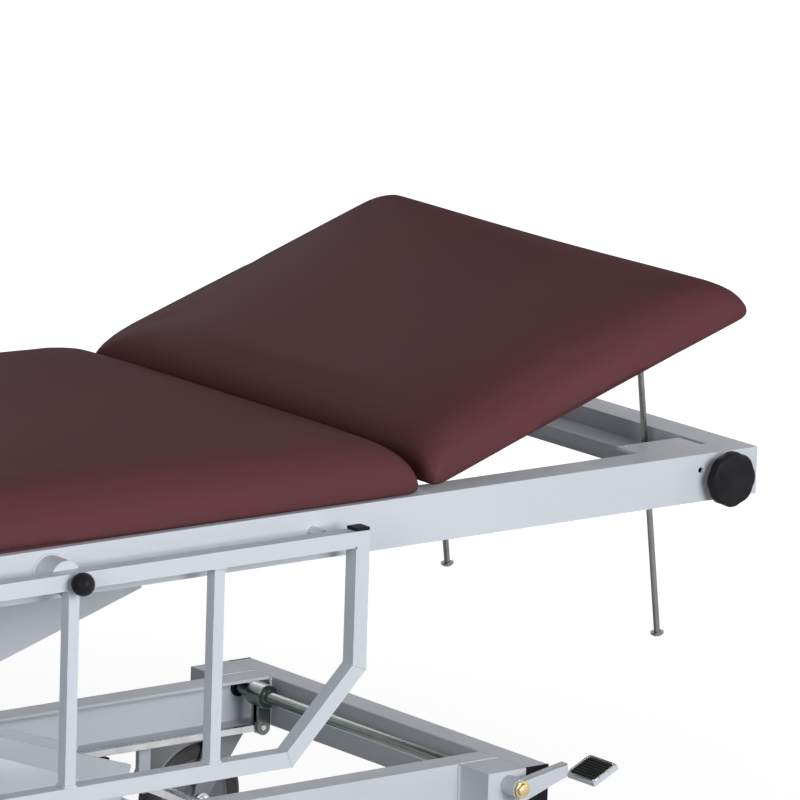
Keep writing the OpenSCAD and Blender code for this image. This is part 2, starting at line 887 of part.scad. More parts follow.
module lower_arm_shaft() {
    color(zinc) {
        y_bar(shaft_d, -side_out, side_out, arm_x, arm_low_z);
        both_sides()
            y_bar(shaft_collar_d, lower_arm_y + face_gap, lower_arm_y + face_gap + shaft_collar_w,
                arm_x, arm_low_z);
    }
}

// Castor, drawn about its stem axis with the wheel trailing towards the foot end
wheel_r = wheel_d / 2;
leg_in = tyre_w / 2 + leg_gap;
leg_out = leg_in + leg_t;
crown_top = base_low - crown_gap;

module castor_fork() {
    ring_r = wheel_r + guard_ring_gap;
    color(castor_grey) {
        translate([0, 0, crown_top - crown_t]) cylinder(d = crown_d, h = crown_t);
        translate([0, 0, crown_top - crown_t / 2])
            cylinder(d = stem_d - 2 * run_clear, h = crown_t / 2 + crown_gap + stem_len);
        both_sides() {
            upright(leg_in, leg_out) difference() {
                union() {
                    polygon([
                        [-leg_top_w, crown_top - crown_t / 2],
                        [leg_top_w / 2, crown_top - crown_t / 2],
                        [leg_top_w / 2, crown_top - crown_t],
                        [axle_boss_d * 0.4 - castor_trail, wheel_r],
                        [-castor_trail - axle_boss_d * 0.4, wheel_r]
                    ]);
                    translate([-castor_trail, wheel_r]) circle(d = axle_boss_d);
                }
            }
            y_bar(axle_head_d, leg_out, leg_out + axle_head_t, -castor_trail, wheel_r);
        }
        y_bar(axle_d, -leg_out - axle_head_t / 2, leg_out + axle_head_t / 2,
            -castor_trail, wheel_r);
        translate([-castor_trail, 0, wheel_r]) rotate([90, 0, 0])
            rotate([0, 0, 62]) rotate_extrude(angle = guard_ring_sweep, $fn = 72)
                translate([ring_r, leg_t / 4 - leg_out])
                    square([guard_ring_t, 2 * leg_out - leg_t / 2]);
    }
}

module castor_tyre() {
    h = tyre_w / 2;
    e = tyre_round;
    color(rubber) translate([-castor_trail, 0, wheel_r]) rotate([90, 0, 0])
        rotate_extrude($fn = 72) polygon([
            [hub_d / 2, -h + e / 3], [wheel_r - e, -h], [wheel_r - e / 3, -h + e / 2],
            [wheel_r, -h + 1.2 * e], [wheel_r, h - 1.2 * e], [wheel_r - e / 3, h - e / 2],
            [wheel_r - e, h], [hub_d / 2, h - e / 3]
        ]);
}

module castor_hub() {
    h = tyre_w / 2;
    r_bore = axle_d / 2 + run_clear;
    color(castor_grey) translate([-castor_trail, 0, wheel_r]) rotate([90, 0, 0])
        rotate_extrude($fn = 72) polygon([
            [r_bore, -h - leg_gap / 2], [hub_boss_d / 2, -h - leg_gap / 2],
            [hub_boss_d / 2 + leg_gap, -hub_web / 2], [hub_d / 2 - leg_gap, -hub_web / 2],
            [hub_d / 2, -h + tyre_round / 3], [hub_d / 2, h - tyre_round / 3],
            [hub_d / 2 - leg_gap, hub_web / 2], [hub_boss_d / 2 + leg_gap, hub_web / 2],
            [hub_boss_d / 2, h + leg_gap / 2], [r_bore, h + leg_gap / 2]
        ]);
}

// Places of the four castors: end and side of the base
module at_castor(end, side) { translate([end * castor_x, side * castor_y, 0]) children(); }

module castor_fork_head_near() { at_castor(1, -1) castor_fork(); }
module castor_tyre_head_near() { at_castor(1, -1) castor_tyre(); }
module castor_hub_head_near() { at_castor(1, -1) castor_hub(); }
module castor_fork_head_far() { at_castor(1, 1) castor_fork(); }
module castor_tyre_head_far() { at_castor(1, 1) castor_tyre(); }
module castor_hub_head_far() { at_castor(1, 1) castor_hub(); }
module castor_fork_foot_near() { at_castor(-1, -1) castor_fork(); }
module castor_tyre_foot_near() { at_castor(-1, -1) castor_tyre(); }
module castor_hub_foot_near() { at_castor(-1, -1) castor_hub(); }
module castor_fork_foot_far() { at_castor(-1, 1) castor_fork(); }
module castor_tyre_foot_far() { at_castor(-1, 1) castor_tyre(); }
module castor_hub_foot_far() { at_castor(-1, 1) castor_hub(); }

// Brake shaft with the collar and fork that the link joins
link_y = side_in - collar_w / 2 - link_gap - base_wall;
link_z = brake_z - brake_lever;

module brake_shaft(x, near_end) {
    journal = side_out - base_wall - bush_flange_t - cut;
    color(zinc) difference() {
        union() {
            y_bar(brake_d, -near_end, side_out + block_w, x, brake_z);
            y_bar(pedal_bolt_d, -near_end - pedal_bolt_h, -near_end + cut, x, brake_z);
            translate([x, -journal, brake_z]) rotate([-90, 0, 0])
                cylinder(d = brake_d, h = 2 * journal, $fn = 6);
            y_bar(collar_d, link_y - collar_w / 2, link_y + collar_w / 2, x, brake_z);
            for (s = [-1, 1]) {
                y0 = link_y + s * (link_t / 2 + link_gap + fork_t / 2) - fork_t / 2;
                block(x - fork_w / 2, x + fork_w / 2, y0, y0 + fork_t, link_z, brake_z);
                y_bar(fork_w, y0, y0 + fork_t, x, link_z);
            }
        }
        y_bar(link_pin_d + 2 * run_clear, link_y - collar_w, link_y + collar_w, x, link_z);
        block(x - collar_d, x + collar_d, link_y - link_t / 2 - link_gap,
            link_y + link_t / 2 + link_gap, link_z - fork_w, brake_z - collar_d / 2);
    }
}

pedal_y = base_w / 2 + face_gap;

module brake_shaft_head() { brake_shaft(brake_x, pedal_y + hub_pedal_w); }
module brake_shaft_foot() { brake_shaft(-brake_x, side_out + block_w); }

module brake_link() {
    pin = link_t / 2 + link_gap + fork_t;
    color(zinc) {
        block(-brake_x, brake_x, link_y - link_t / 2, link_y + link_t / 2,
            link_z - link_h / 2, link_z + link_h / 2);
        for (sx = [-1, 1]) {
            y_bar(fork_w - 2 * link_gap, link_y - link_t / 2, link_y + link_t / 2,
                sx * brake_x, link_z);
            y_bar(link_pin_d, link_y - pin, link_y + pin, sx * brake_x, link_z);
        }
    }
}

// Places a pedal piece, drawn from the brake shaft with the arm's near face at zero
module on_pedal() {
    translate([brake_x, -pedal_y - hub_pedal_w, brake_z]) rotate([0, -pedal_slope, 0]) children();
}

// Places a piece on the pedal's foot plate, drawn about its middle
module on_foot_plate() {
    on_pedal() translate([pedal_reach, pedal_web_t / 2 - pedal_rim, 0])
        rotate([0, -pedal_tilt, 0]) children();
}

module brake_pedal() {
    r = hub_pedal_d / 2;
    low = pedal_rise - pedal_web_h;
    half = pedal_pad_len / 2;
    tip = pedal_reach - (half + pedal_rim) * cos(pedal_tilt) + pedal_rim / 3;
    color(paint) {
        on_pedal() difference() {
            union() {
                y_bar(hub_pedal_d, pedal_web_t / 2, hub_pedal_w, 0, 0);
                upright(0, pedal_web_t) polygon([
                    [-r / 2, low], [r / 2, low], [tip, pedal_rise - pedal_tip_h],
                    [tip, pedal_rise - pedal_flange_t / 2],
                    [-r / 2, pedal_rise - pedal_flange_t / 2]
                ]);
                block(-r / 2, tip, 0, pedal_flange_w, pedal_rise - pedal_flange_t, pedal_rise);
            }
            y_bar(brake_d + 2 * run_clear, -cut, hub_pedal_w + cut, 0, 0);
        }
        on_foot_plate() difference() {
            block(-half - pedal_rim, half + pedal_rim, -pedal_pad_w - pedal_rim, pedal_rim,
                -pedal_flange_t, pedal_rim);
            block(-half - face_gap, half + face_gap, -pedal_pad_w - face_gap, face_gap,
                0, pedal_rim + cut);
        }
    }
}

module brake_pedal_pad() {
    step = (pedal_pad_len - 2 * pedal_rib_h) / pedal_ribs;
    x0 = pedal_rib_h - pedal_pad_len / 2;
    color(rubber) on_foot_plate() {
        block(-pedal_pad_len / 2, pedal_pad_len / 2, -pedal_pad_w, 0,
            0, pedal_pad_t - pedal_rib_h);
        for (i = [0 : pedal_ribs - 1])
            block(x0 + (i + 0.2) * step, x0 + (i + 0.8) * step,
                pedal_rib_h - pedal_pad_w, -pedal_rib_h, 0, pedal_pad_t);
    }
}

// Arm plate drawn level from its head end towards the foot end, one foot corner cut
module arm_plate(y0, below, flip) {
    foot = -arm_len - arm_over;
    low = flip > 0 ? -below : arm_h - below;
    difference() {
        upright(y0, y0 + arm_t) polygon([
            [foot + arm_corner, low], [foot, low + flip * arm_corner],
            [foot, low + flip * arm_h], [arm_over, low + flip * arm_h], [arm_over, low]
        ]);
        y_bar(shaft_d + 2 * run_clear, y0 - cut, y0 + arm_t + cut, 0, 0);
        y_bar(mid_pin_d + 2 * run_clear, y0 - cut, y0 + arm_t + cut, -arm_len / 2, 0);
        y_bar(roller_shaft_d + 2 * run_clear, y0 - cut, y0 + arm_t + cut, -arm_len, 0);
    }
}

// Places a piece on the lower arms, which rise towards the foot end
module on_lower_arm() { translate([arm_x, 0, arm_low_z]) rotate([0, arm_rest, 0]) children(); }

// Places a piece on the upper arms, which fall towards the foot end
module on_upper_arm() { translate([arm_x, 0, arm_high_z]) rotate([0, -arm_rest, 0]) children(); }

module lower_arm_plates() {
    color(paint) on_lower_arm() both_sides() arm_plate(lower_in, arm_below, -1);
}

module upper_arm_plates() {
    color(paint) on_upper_arm() both_sides() arm_plate(upper_in, upper_below, 1);
}

module lower_arm_tubes() {
    color(zinc) on_lower_arm() {
        for (x = [-lower_tube_in, foot_tube_in - arm_len])
            y_bar(arm_tube_d, -lower_in, lower_in, x, 0);
        y_bar(mid_pin_d, -upper_out - lug_gap, upper_out + lug_gap, -arm_len / 2, 0);
        y_bar(arm_tube_d, -lower_in, lower_in, -arm_len / 2, 0);
        y_bar(ram_pin_d, -lower_in, lower_in, -ram_eye_u, ram_eye_v);
        y_bar(roller_shaft_d, -track_out + track_wall + roller_gap,
            track_out - track_wall - roller_gap, -arm_len, 0);
    }
}

module upper_arm_tubes() {
    color(zinc) on_upper_arm() {
        for (x = [-upper_tube_in, foot_tube_in - arm_len])
            y_bar(arm_tube_d, -upper_in, upper_in, x, 0);
        y_bar(roller_shaft_d, -roller_y0 - roller_w, roller_y0 + roller_w, -arm_len, 0);
    }
}

// Roller with a running bore
module roller(d, y0, x, z) {
    difference() {
        y_bar(d, y0, y0 + roller_w, x, z);
        y_bar(roller_shaft_d + 2 * run_clear, y0 - cut, y0 + roller_w + cut, x, z);
    }
}

module deck_rollers() {
    y0 = track_out - track_wall - roller_gap - roller_w;
    color(plastic) both_sides() roller(deck_roller_d, y0, arm_foot_x, arm_high_z);
}

module base_rollers() {
    color(plastic) both_sides() roller(base_roller_d, roller_y0, arm_foot_x, arm_low_z);
}

// Places a piece on the ram, drawn level from its lower pin
module on_ram() { translate([ram_low_x, 0, ram_low_z]) rotate([0, -ram_slope, 0]) children(); }

module x_bar(d, x0, x1) {
    translate([x0, 0, 0]) rotate([0, 90, 0]) cylinder(d = d, h = x1 - x0);
}

module ram_barrel() {
    color(plastic) on_ram() difference() {
        union() {
            x_bar(ram_neck_d, 0, ram_tail_d);
            x_bar(barrel_d, ram_tail_d / 2 + ram_neck_len, barrel_len);
            y_bar(ram_tail_d, -ram_eye_t / 2, ram_eye_t / 2, 0, 0);
        }
        x_bar(barrel_d - 2 * barrel_wall, ram_tail_d + barrel_wall, barrel_len - gland_len);
        x_bar(ram_rod_d + 2 * run_clear, ram_tail_d + barrel_wall, barrel_len + cut);
        y_bar(ram_pin_d + 2 * run_clear, -ram_eye_t, ram_eye_t, 0, 0);
    }
}

module ram_rod() {
    bore_d = barrel_d - 2 * barrel_wall;
    color(zinc) on_ram() difference() {
        union() {
            x_bar(bore_d - 2 * run_clear, piston_from_tail, piston_from_tail + piston_len);
            x_bar(ram_rod_d, piston_from_tail, ram_len - ram_eye_slack);
            y_bar(ram_eye_d, -ram_eye_t / 2, ram_eye_t / 2, ram_len, 0);
        }
        y_bar(ram_pin_d + 2 * ram_eye_slack, -ram_eye_t, ram_eye_t, ram_len, 0);
    }
}

// Plate under the side channels that carries the pump, and hangers of the pedal shaft
module pump_carrier() {
    color(paint) {
        block(carrier_x, carrier_x + carrier_len, -side_out, side_out,
            base_low - carrier_t, base_low);
        both_sides() difference() {
            y1 = side_out - hanger_from_side;
            union() {
                block(pump_x - hanger_w / 2, pump_x + hanger_w / 2, y1 - hanger_t, y1,
                    pump_z, base_low);
                y_bar(hanger_w + pump_shaft_d / 2, y1 - hanger_t, y1, pump_x, pump_z);
            }
            y_bar(pump_shaft_d + 2 * run_clear, y1 - hanger_t - cut, y1 + cut, pump_x, pump_z);
        }
    }
}

module pump_unit() {
    ear_in = ram_eye_t / 2 + ear_gap;
    res_x1 = ram_low_x - reservoir_from_ear;
    color(plastic) {
        both_sides() {
            block(ram_low_x - ram_tail_d / 2, ram_low_x + ram_tail_d / 2,
                ear_in, ear_in + pump_ear_t, base_low, ram_low_z);
            y_bar(ram_tail_d, ear_in, ear_in + pump_ear_t, ram_low_x, ram_low_z);
        }
        y_bar(ram_pin_d, -ear_in - pump_ear_t, ear_in + pump_ear_t, ram_low_x, ram_low_z);
        block(res_x1 - reservoir_len, res_x1, -reservoir_w / 2, reservoir_w / 2,
            base_low, base_low + reservoir_h);
        difference() {
            union() {
                block(res_x1 - pump_cyl_len, res_x1, -pump_cyl_d / 2, pump_cyl_d / 2,
                    pump_z + pump_lever, base_low - carrier_t);
                translate([res_x1, 0, pump_z + pump_lever]) x_bar(pump_cyl_d, -pump_cyl_len, 0);
            }
            translate([res_x1, 0, pump_z + pump_lever])
                x_bar(pump_link_d + 2 * run_clear, carrier_t - pump_cyl_len, cut);
        }
    }
}

// Sloped side plates that stand on the side channels and hide the ram
module lift_covers() {
    y0 = side_in;
    color(paint) both_sides() upright(y0, y0 + cover_t) polygon([
        [cover_x0, base_top], [cover_x1, base_top], [cover_x1, base_top + cover_low],
        [cover_step_x, base_top + cover_high], [cover_x0, base_top + cover_high]
    ]);
}

// Pedal shaft of the pump with an arm on each side and a lever in the middle
module pump_pedal() {
    color(zinc) {
        y_bar(pump_shaft_d, -pump_arm_y - pump_arm_t, pump_arm_y + pump_arm_t,
            pump_x, pump_z);
        both_sides()
            translate([pump_x, pump_arm_y - pump_arm_t / 2, pump_z]) rotate([0, pump_slope, 0])
                translate([-pump_arm_len - pump_pad_len / 2, 0, -pump_arm_t / 2])
                    cube([pump_arm_len + pump_pad_len / 2, pump_arm_t, pump_arm_t]);
        for (s = [-1, 1]) {
            y0 = s * (pump_link_d / 2 + link_gap + pump_lever_t / 2) - pump_lever_t / 2;
            difference() {
                union() {
                    block(pump_x - pump_lever_w * 0.4, pump_x + pump_lever_w * 0.4,
                        y0, y0 + pump_lever_t, pump_z + cut, pump_z + pump_lever);
                    y_bar(pump_lever_w, y0, y0 + pump_lever_t, pump_x, pump_z + pump_lever);
                }
                y_bar(link_pin_d + 2 * pump_link_slack, y0 - cut, y0 + pump_lever_t + cut,
                    pump_x, pump_z + pump_lever);
            }
        }
    }
}

module pump_pedal_pads() {
    color(rubber) both_sides()
        translate([pump_x, pump_arm_y, pump_z]) rotate([0, pump_slope, 0])
            translate([-pump_arm_len - pump_pad_len / 2, -pump_pad_w / 2, pump_arm_t / 2])
                cube([pump_pad_len, pump_pad_w, pump_pad_t]);
}

// Rod from the pedal shaft's lever into the pump
module pump_link() {
    y_pin = pump_link_d / 2 + link_gap + pump_lever_t;
    tip = ram_low_x - reservoir_from_ear - pump_cyl_len / 2;
    color(zinc) translate([0, 0, pump_z + pump_lever]) {
        x_bar(pump_link_d, tip, pump_x);
        y_bar(link_pin_d, -y_pin, y_pin, pump_x, 0);
    }
}

base_side_near();
base_side_far();
base_end_tubes();
castor_blocks();
base_tube_plugs();
brake_bushes();
lower_arm_shaft();
pump_carrier();
pump_unit();
lift_covers();
castor_fork_head_near();
castor_tyre_head_near();
castor_hub_head_near();
castor_fork_head_far();
castor_tyre_head_far();
castor_hub_head_far();
castor_fork_foot_near();
castor_tyre_foot_near();
castor_hub_foot_near();
castor_fork_foot_far();
castor_tyre_foot_far();
castor_hub_foot_far();
brake_shaft_head();
brake_pedal();
brake_pedal_pad();
brake_link();
brake_shaft_foot();
pump_pedal();
pump_pedal_pads();
pump_link();
lower_arm_plates();
lower_arm_tubes();
deck_rollers();
upper_arm_plates();
upper_arm_tubes();
base_rollers();
ram_barrel();
ram_rod();
deck_rail_near();
deck_rail_far();
deck_cross_tubes();
upper_arm_shaft();
rod_guide();
guard_studs();
seat_board();
seat_pad();
hinge_leaves();
guard_near();
guard_far();
guard_caps_near();
guard_caps_far();
guard_plunger_near();
guard_plunger_far();
clamp_knob_near();
clamp_knob_far();
backrest_board();
backrest_pad();
backrest_leaves();
rod_brackets();
support_rods();
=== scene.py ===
import json
import math

import bmesh
import bpy
import numpy as np
from mathutils import Matrix, Vector


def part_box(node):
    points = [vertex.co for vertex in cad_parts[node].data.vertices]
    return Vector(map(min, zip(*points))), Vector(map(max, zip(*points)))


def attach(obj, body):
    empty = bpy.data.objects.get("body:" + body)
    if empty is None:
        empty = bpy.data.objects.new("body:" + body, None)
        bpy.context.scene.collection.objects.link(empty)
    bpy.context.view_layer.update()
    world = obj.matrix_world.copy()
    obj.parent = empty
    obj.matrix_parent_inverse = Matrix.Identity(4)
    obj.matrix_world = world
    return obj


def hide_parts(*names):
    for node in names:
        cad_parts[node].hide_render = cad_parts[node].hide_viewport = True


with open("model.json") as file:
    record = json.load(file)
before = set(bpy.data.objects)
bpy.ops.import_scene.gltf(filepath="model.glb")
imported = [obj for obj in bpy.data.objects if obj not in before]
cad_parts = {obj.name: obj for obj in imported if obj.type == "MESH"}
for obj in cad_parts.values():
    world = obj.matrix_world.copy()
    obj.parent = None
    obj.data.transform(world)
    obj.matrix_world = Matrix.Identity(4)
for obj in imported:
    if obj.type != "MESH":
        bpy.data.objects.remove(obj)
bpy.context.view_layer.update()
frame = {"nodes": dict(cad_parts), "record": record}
nodeBody = {n: b for b, members in frame["record"]["behaviour"]["bodies"].items() for n in members}
print("frame loaded:", len(frame["nodes"]), "nodes")


# mesh helpers

meshLook = {"weld": 1e-6, "nodeWeld": 2e-6, "flatAngle": 0.6, "turnedAngle": 38.0}


def newPiece(name, verts, faces, body, material):
    # a smooth mesh object at the origin from points and faces, riding on a body
    mesh = bpy.data.meshes.new(name)
    mesh.from_pydata([tuple(v) for v in np.asarray(verts, float)], [], [list(f) for f in faces])
    mesh.validate()
    piece = bpy.data.objects.new(name, mesh)
    bpy.context.scene.collection.objects.link(piece)
    finishPiece(piece, body, material, 180)
    return piece


def smoothShade(piece, angle):
    # smooth faces, with edges sharper than the angle kept sharp; 180 keeps none
    piece.data.polygons.foreach_set("use_smooth", np.ones(len(piece.data.polygons), bool))
    if angle < 180:
        piece.data.set_sharp_from_angle(angle=math.radians(angle))


def finishPiece(piece, body, material, smoothAngle):
    smoothShade(piece, smoothAngle)
    piece.data.materials.clear()
    piece.data.materials.append(material)
    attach(piece, body)


def gridFaces(rows, columns, wrapRows=False):
    # quads between neighbouring rows of points; columns run round the section
    i = np.arange(rows if wrapRows else rows - 1)
    j = np.arange(columns)
    i, j = np.meshgrid(i, j, indexing="ij")
    i2, j2 = (i + 1) % rows, (j + 1) % columns
    quads = np.stack([i * columns + j, i * columns + j2, i2 * columns + j2, i2 * columns + j], -1)
    return quads.reshape(-1, 4).tolist()


def lathe(profile, segments, center, axis=(0, 1, 0), lobes=0, lobeDepth=0.0, lobeFrom=0.0):
    # profile of (radius, height) turned round an axis; lobes pull the outer radius in and out
    axis = Vector(axis).normalized()
    side = axis.orthogonal().normalized()
    other = axis.cross(side)
    profile = np.asarray(profile, float)
    turn = np.linspace(0, 2 * np.pi, segments, endpoint=False)
    radius = profile[:, 0][:, None] * np.ones(segments)
    if lobes:
        share = np.clip((profile[:, 0] - lobeFrom) / max(profile[:, 0].max() - lobeFrom, 1e-9), 0, 1)
        dip = 0.5 - 0.5 * np.cos(lobes * turn)
        radius = radius - (share ** 2)[:, None] * lobeDepth * (dip ** 1.6)[None, :]
    ring = (np.cos(turn)[:, None] * np.array(side) + np.sin(turn)[:, None] * np.array(other))
    points = (np.array(center) + radius[:, :, None] * ring[None, :, :]
              + profile[:, 1][:, None, None] * np.array(axis))
    return points.reshape(-1, 3), gridFaces(len(profile), segments)


def faceOutwards(piece, mergeDistance=0.0):
    # makes all faces point outwards, after merging doubled points where a distance is given
    edit = bmesh.new()
    edit.from_mesh(piece.data)
    if mergeDistance:
        bmesh.ops.remove_doubles(edit, verts=edit.verts, dist=mergeDistance)
    bmesh.ops.recalc_face_normals(edit, faces=edit.faces)
    edit.to_mesh(piece.data)
    edit.free()


def closedLathe(name, profile, segments, center, axis, body, slot, material, **more):
    # a turned piece whose profile starts and ends on the axis
    verts, faces = lathe(profile, segments, center, axis, **more)
    piece = newPiece(name, verts, faces, body, material)
    faceOutwards(piece, meshLook["weld"])
    smoothShade(piece, meshLook["turnedAngle"])
    return piece


def dressNode(node, material, bevel, segments, angle=30.0):
    # a CAD node's own mesh, merged and with its sharp edges rounded by a bevel in millimetres
    words = node.split("_")
    name = words[0] + "".join(w.capitalize() for w in words[1:]) + "Finished"
    mesh = frame["nodes"][node].data.copy()
    edit = bmesh.new()
    edit.from_mesh(mesh)
    bmesh.ops.remove_doubles(edit, verts=edit.verts, dist=meshLook["nodeWeld"])
    bmesh.ops.dissolve_limit(edit, angle_limit=math.radians(meshLook["flatAngle"]), verts=edit.verts,
                             edges=edit.edges, use_dissolve_boundaries=False)
    edit.to_mesh(mesh)
    edit.free()
    piece = bpy.data.objects.new(name, mesh)
    bpy.context.scene.collection.objects.link(piece)
    finishPiece(piece, nodeBody[node], material, angle)
    rounding = piece.modifiers.new("edges", "BEVEL")
    rounding.width = bevel / 1000
    rounding.segments = segments
    rounding.limit_method = "ANGLE"
    rounding.angle_limit = math.radians(angle)
    rounding.use_clamp_overlap = True
    rounding.harden_normals = False
    shading = piece.modifiers.new("shading", "WEIGHTED_NORMAL")
    shading.keep_sharp = False
    if "sharp_edge" in mesh.attributes:
        mesh.attributes.remove(mesh.attributes["sharp_edge"])
    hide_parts(node)


# materials

def nodeMaterial(name):
    # a new material, its tree and shader, and the object coordinates that its patterns follow
    material = bpy.data.materials.new(name)
    material.use_nodes = True
    tree = material.node_tree
    shader = tree.nodes["Principled BSDF"]
    coord = tree.nodes.new("ShaderNodeTexCoord")
    return material, tree, shader, coord.outputs["Object"]


def addNoise(tree, source, scale, detail=4.0, stretch=(1, 1, 1)):
    mapping = tree.nodes.new("ShaderNodeMapping")
    mapping.inputs["Scale"].default_value = stretch
    tree.links.new(source, mapping.inputs["Vector"])
    noise = tree.nodes.new("ShaderNodeTexNoise")
    noise.inputs["Scale"].default_value = scale
    noise.inputs["Detail"].default_value = detail
    noise.inputs["Roughness"].default_value = 0.5
    tree.links.new(mapping.outputs["Vector"], noise.inputs["Vector"])
    return noise.outputs["Fac"]


def ramp(tree, source, stops):
    node = tree.nodes.new("ShaderNodeValToRGB")
    points = node.color_ramp.elements
    while len(points) < len(stops):
        points.new(0.5)
    for point, (place, colour) in zip(points, stops):
        point.position = place
        point.color = (*colour, 1)
    tree.links.new(source, node.inputs["Fac"])
    return node.outputs["Color"]


def spread(tree, source, low, high):
    # turns a noise, which stays mostly between 0.3 and 0.7, into the range low..high
    node = tree.nodes.new("ShaderNodeMapRange")
    node.inputs["From Min"].default_value = 0.3
    node.inputs["From Max"].default_value = 0.7
    node.inputs["To Min"].default_value = low
    node.inputs["To Max"].default_value = high
    tree.links.new(source, node.inputs["Value"])
    return node.outputs["Result"]


def addRoughness(tree, shader, source, look):
    low, high = look["rough"] - look["roughBelow"], look["rough"] + look["roughAbove"]
    tree.links.new(spread(tree, source, low, high), shader.inputs["Roughness"])


def addBump(tree, shader, height, strength, distance, before=None):
    bump = tree.nodes.new("ShaderNodeBump")
    bump.inputs["Strength"].default_value = strength
    bump.inputs["Distance"].default_value = distance
    tree.links.new(height, bump.inputs["Height"])
    if before is not None:
        tree.links.new(before, bump.inputs["Normal"])
    tree.links.new(bump.outputs["Normal"], shader.inputs["Normal"])
    return bump.outputs["Normal"]


def paintMaterial(name, colour, look):
    # powder coat: fine orange peel, slow change of tone and gloss
    material, tree, shader, place = nodeMaterial(name)
    slow = addNoise(tree, place, look["toneScale"], 3)
    dark = tuple(c * look["toneLow"] for c in colour)
    tree.links.new(ramp(tree, slow, [(0.3, dark), (0.7, colour)]), shader.inputs["Base Color"])
    gloss = addNoise(tree, place, look["glossScale"], 5)
    addRoughness(tree, shader, gloss, look)
    peel = addNoise(tree, place, look["peelScale"], 2)
    addBump(tree, shader, peel, look["peel"], look["peelDepth"])
    shader.inputs["Specular IOR Level"].default_value = look["specular"]
    shader.inputs["Coat Weight"].default_value = look["coat"]
    shader.inputs["Coat Roughness"].default_value = look["coatRough"]
    return material


paintLook = {"toneScale": 3.0, "toneLow": 0.955, "glossScale": 25.0, "rough": 0.36,
             "roughBelow": 0.05, "roughAbove": 0.06, "peelScale": 900.0, "peel": 0.10,
             "peelDepth": 0.0004, "coat": 0.02, "coatRough": 0.18, "specular": 0.12}
greyPaint = paintMaterial("greyPowderCoat", (0.555, 0.583, 0.628), paintLook)
castorPaint = paintMaterial("castorZincGrey", (0.33, 0.35, 0.37), dict(paintLook, rough=0.42))
darkPaint = paintMaterial("darkPumpPaint", (0.045, 0.048, 0.052), dict(paintLook, rough=0.4, toneLow=0.8))


def steelMaterial(name, colour, look):
    # plated steel: bright metal, fine turning or drawing lines, faint cloudy patches
    material, tree, shader, place = nodeMaterial(name)
    cloud = addNoise(tree, place, look["cloudScale"], 4)
    dark = tuple(c * look["cloudLow"] for c in colour)
    tree.links.new(ramp(tree, cloud, [(0.35, dark), (0.65, colour)]), shader.inputs["Base Color"])
    shader.inputs["Metallic"].default_value = 1.0
    lines = addNoise(tree, place, look["lineScale"], 3, look["lineStretch"])
    addRoughness(tree, shader, lines, look)
    addBump(tree, shader, lines, look["lines"], look["lineDepth"])
    return material


steelLook = {"cloudScale": 40.0, "cloudLow": 0.82, "lineScale": 220.0, "lineStretch": (1, 1, 12),
             "rough": 0.24, "roughBelow": 0.06, "roughAbove": 0.08, "lines": 0.08, "lineDepth": 0.0002}
zincSteel = steelMaterial("zincPlatedSteel", (0.62, 0.63, 0.64), steelLook)
rodSteel = steelMaterial("rodSteel", (0.20, 0.20, 0.19), dict(steelLook, rough=0.30))
trimSteel = steelMaterial("trimSteel", (0.45, 0.46, 0.47), dict(steelLook, rough=0.16, cloudLow=0.9))
# the brake shafts' steel is dark and faintly green: painted shade and painted reflection of the dim, olive
# surroundings under the deck
shaftSteel = steelMaterial("shaftSteel", (0.17, 0.19, 0.18), dict(steelLook, rough=0.20))
brassSteel = steelMaterial("yellowPassivated", (0.66, 0.52, 0.28), dict(steelLook, rough=0.3))


def mouldedMaterial(name, colour, look):
    # moulded plastic or rubber: fine spark texture, slightly uneven gloss
    material, tree, shader, place = nodeMaterial(name)
    slow = addNoise(tree, place, look["toneScale"], 4)
    light = tuple(min(c * look["toneHigh"] + 0.002, 1) for c in colour)
    tree.links.new(ramp(tree, slow, [(0.35, colour), (0.7, light)]), shader.inputs["Base Color"])
    addRoughness(tree, shader, slow, look)
    shader.inputs["Specular IOR Level"].default_value = look["specular"]
    spark = addNoise(tree, place, look["grainScale"], 3)
    addBump(tree, shader, spark, look["grain"], look["grainDepth"])
    return material


mouldedLook = {"toneScale": 30.0, "toneHigh": 1.5, "rough": 0.34, "roughBelow": 0.05, "roughAbove": 0.08,
               "grainScale": 1400.0, "grain": 0.18, "grainDepth": 0.0003, "specular": 0.12}
blackPlastic = mouldedMaterial("blackMouldedPlastic", (0.012, 0.012, 0.014),
                               dict(mouldedLook, specular=0.05))
greyPlastic = mouldedMaterial("greyNylon", (0.23, 0.245, 0.26),
                              dict(mouldedLook, toneHigh=1.15, rough=0.45))
blackRubber = mouldedMaterial("blackRubber", (0.016, 0.016, 0.017),
                              dict(mouldedLook, rough=0.6, grain=0.35))
tyreRubber = mouldedMaterial("greyTyre", (0.055, 0.055, 0.058),
                             dict(mouldedLook, rough=0.62, toneHigh=1.9, toneScale=18.0))


def vinylMaterial(name, look):
    # upholstery vinyl: rounded leather cells, finer pores, thin soft gloss on a dark red
    material, tree, shader, place = nodeMaterial(name)
    slow = addNoise(tree, place, look["toneScale"], 3)
    tree.links.new(ramp(tree, slow, [(0.3, look["dark"]), (0.7, look["light"])]), shader.inputs["Base Color"])
    warp = addNoise(tree, place, look["warpScale"], 2)
    addRoughness(tree, shader, warp, look)
    cells = tree.nodes.new("ShaderNodeTexVoronoi")
    cells.feature = "DISTANCE_TO_EDGE"
    cells.inputs["Scale"].default_value = look["cellScale"]
    tree.links.new(place, cells.inputs["Vector"])
    edges = ramp(tree, cells.outputs["Distance"], [(0.0, (0, 0, 0)), (look["cellEdge"], (1, 1, 1))])
    coarse = addBump(tree, shader, edges, look["cellBump"], look["cellDepth"])
    pores = addNoise(tree, place, look["poreScale"], 4)
    addBump(tree, shader, pores, look["poreBump"], look["poreDepth"], coarse)
    shader.inputs["Specular IOR Level"].default_value = 0.0  # the thin coat alone gives the gloss
    shader.inputs["Coat Weight"].default_value = look["coat"]
    shader.inputs["Coat Roughness"].default_value = look["coatRough"]
    return material


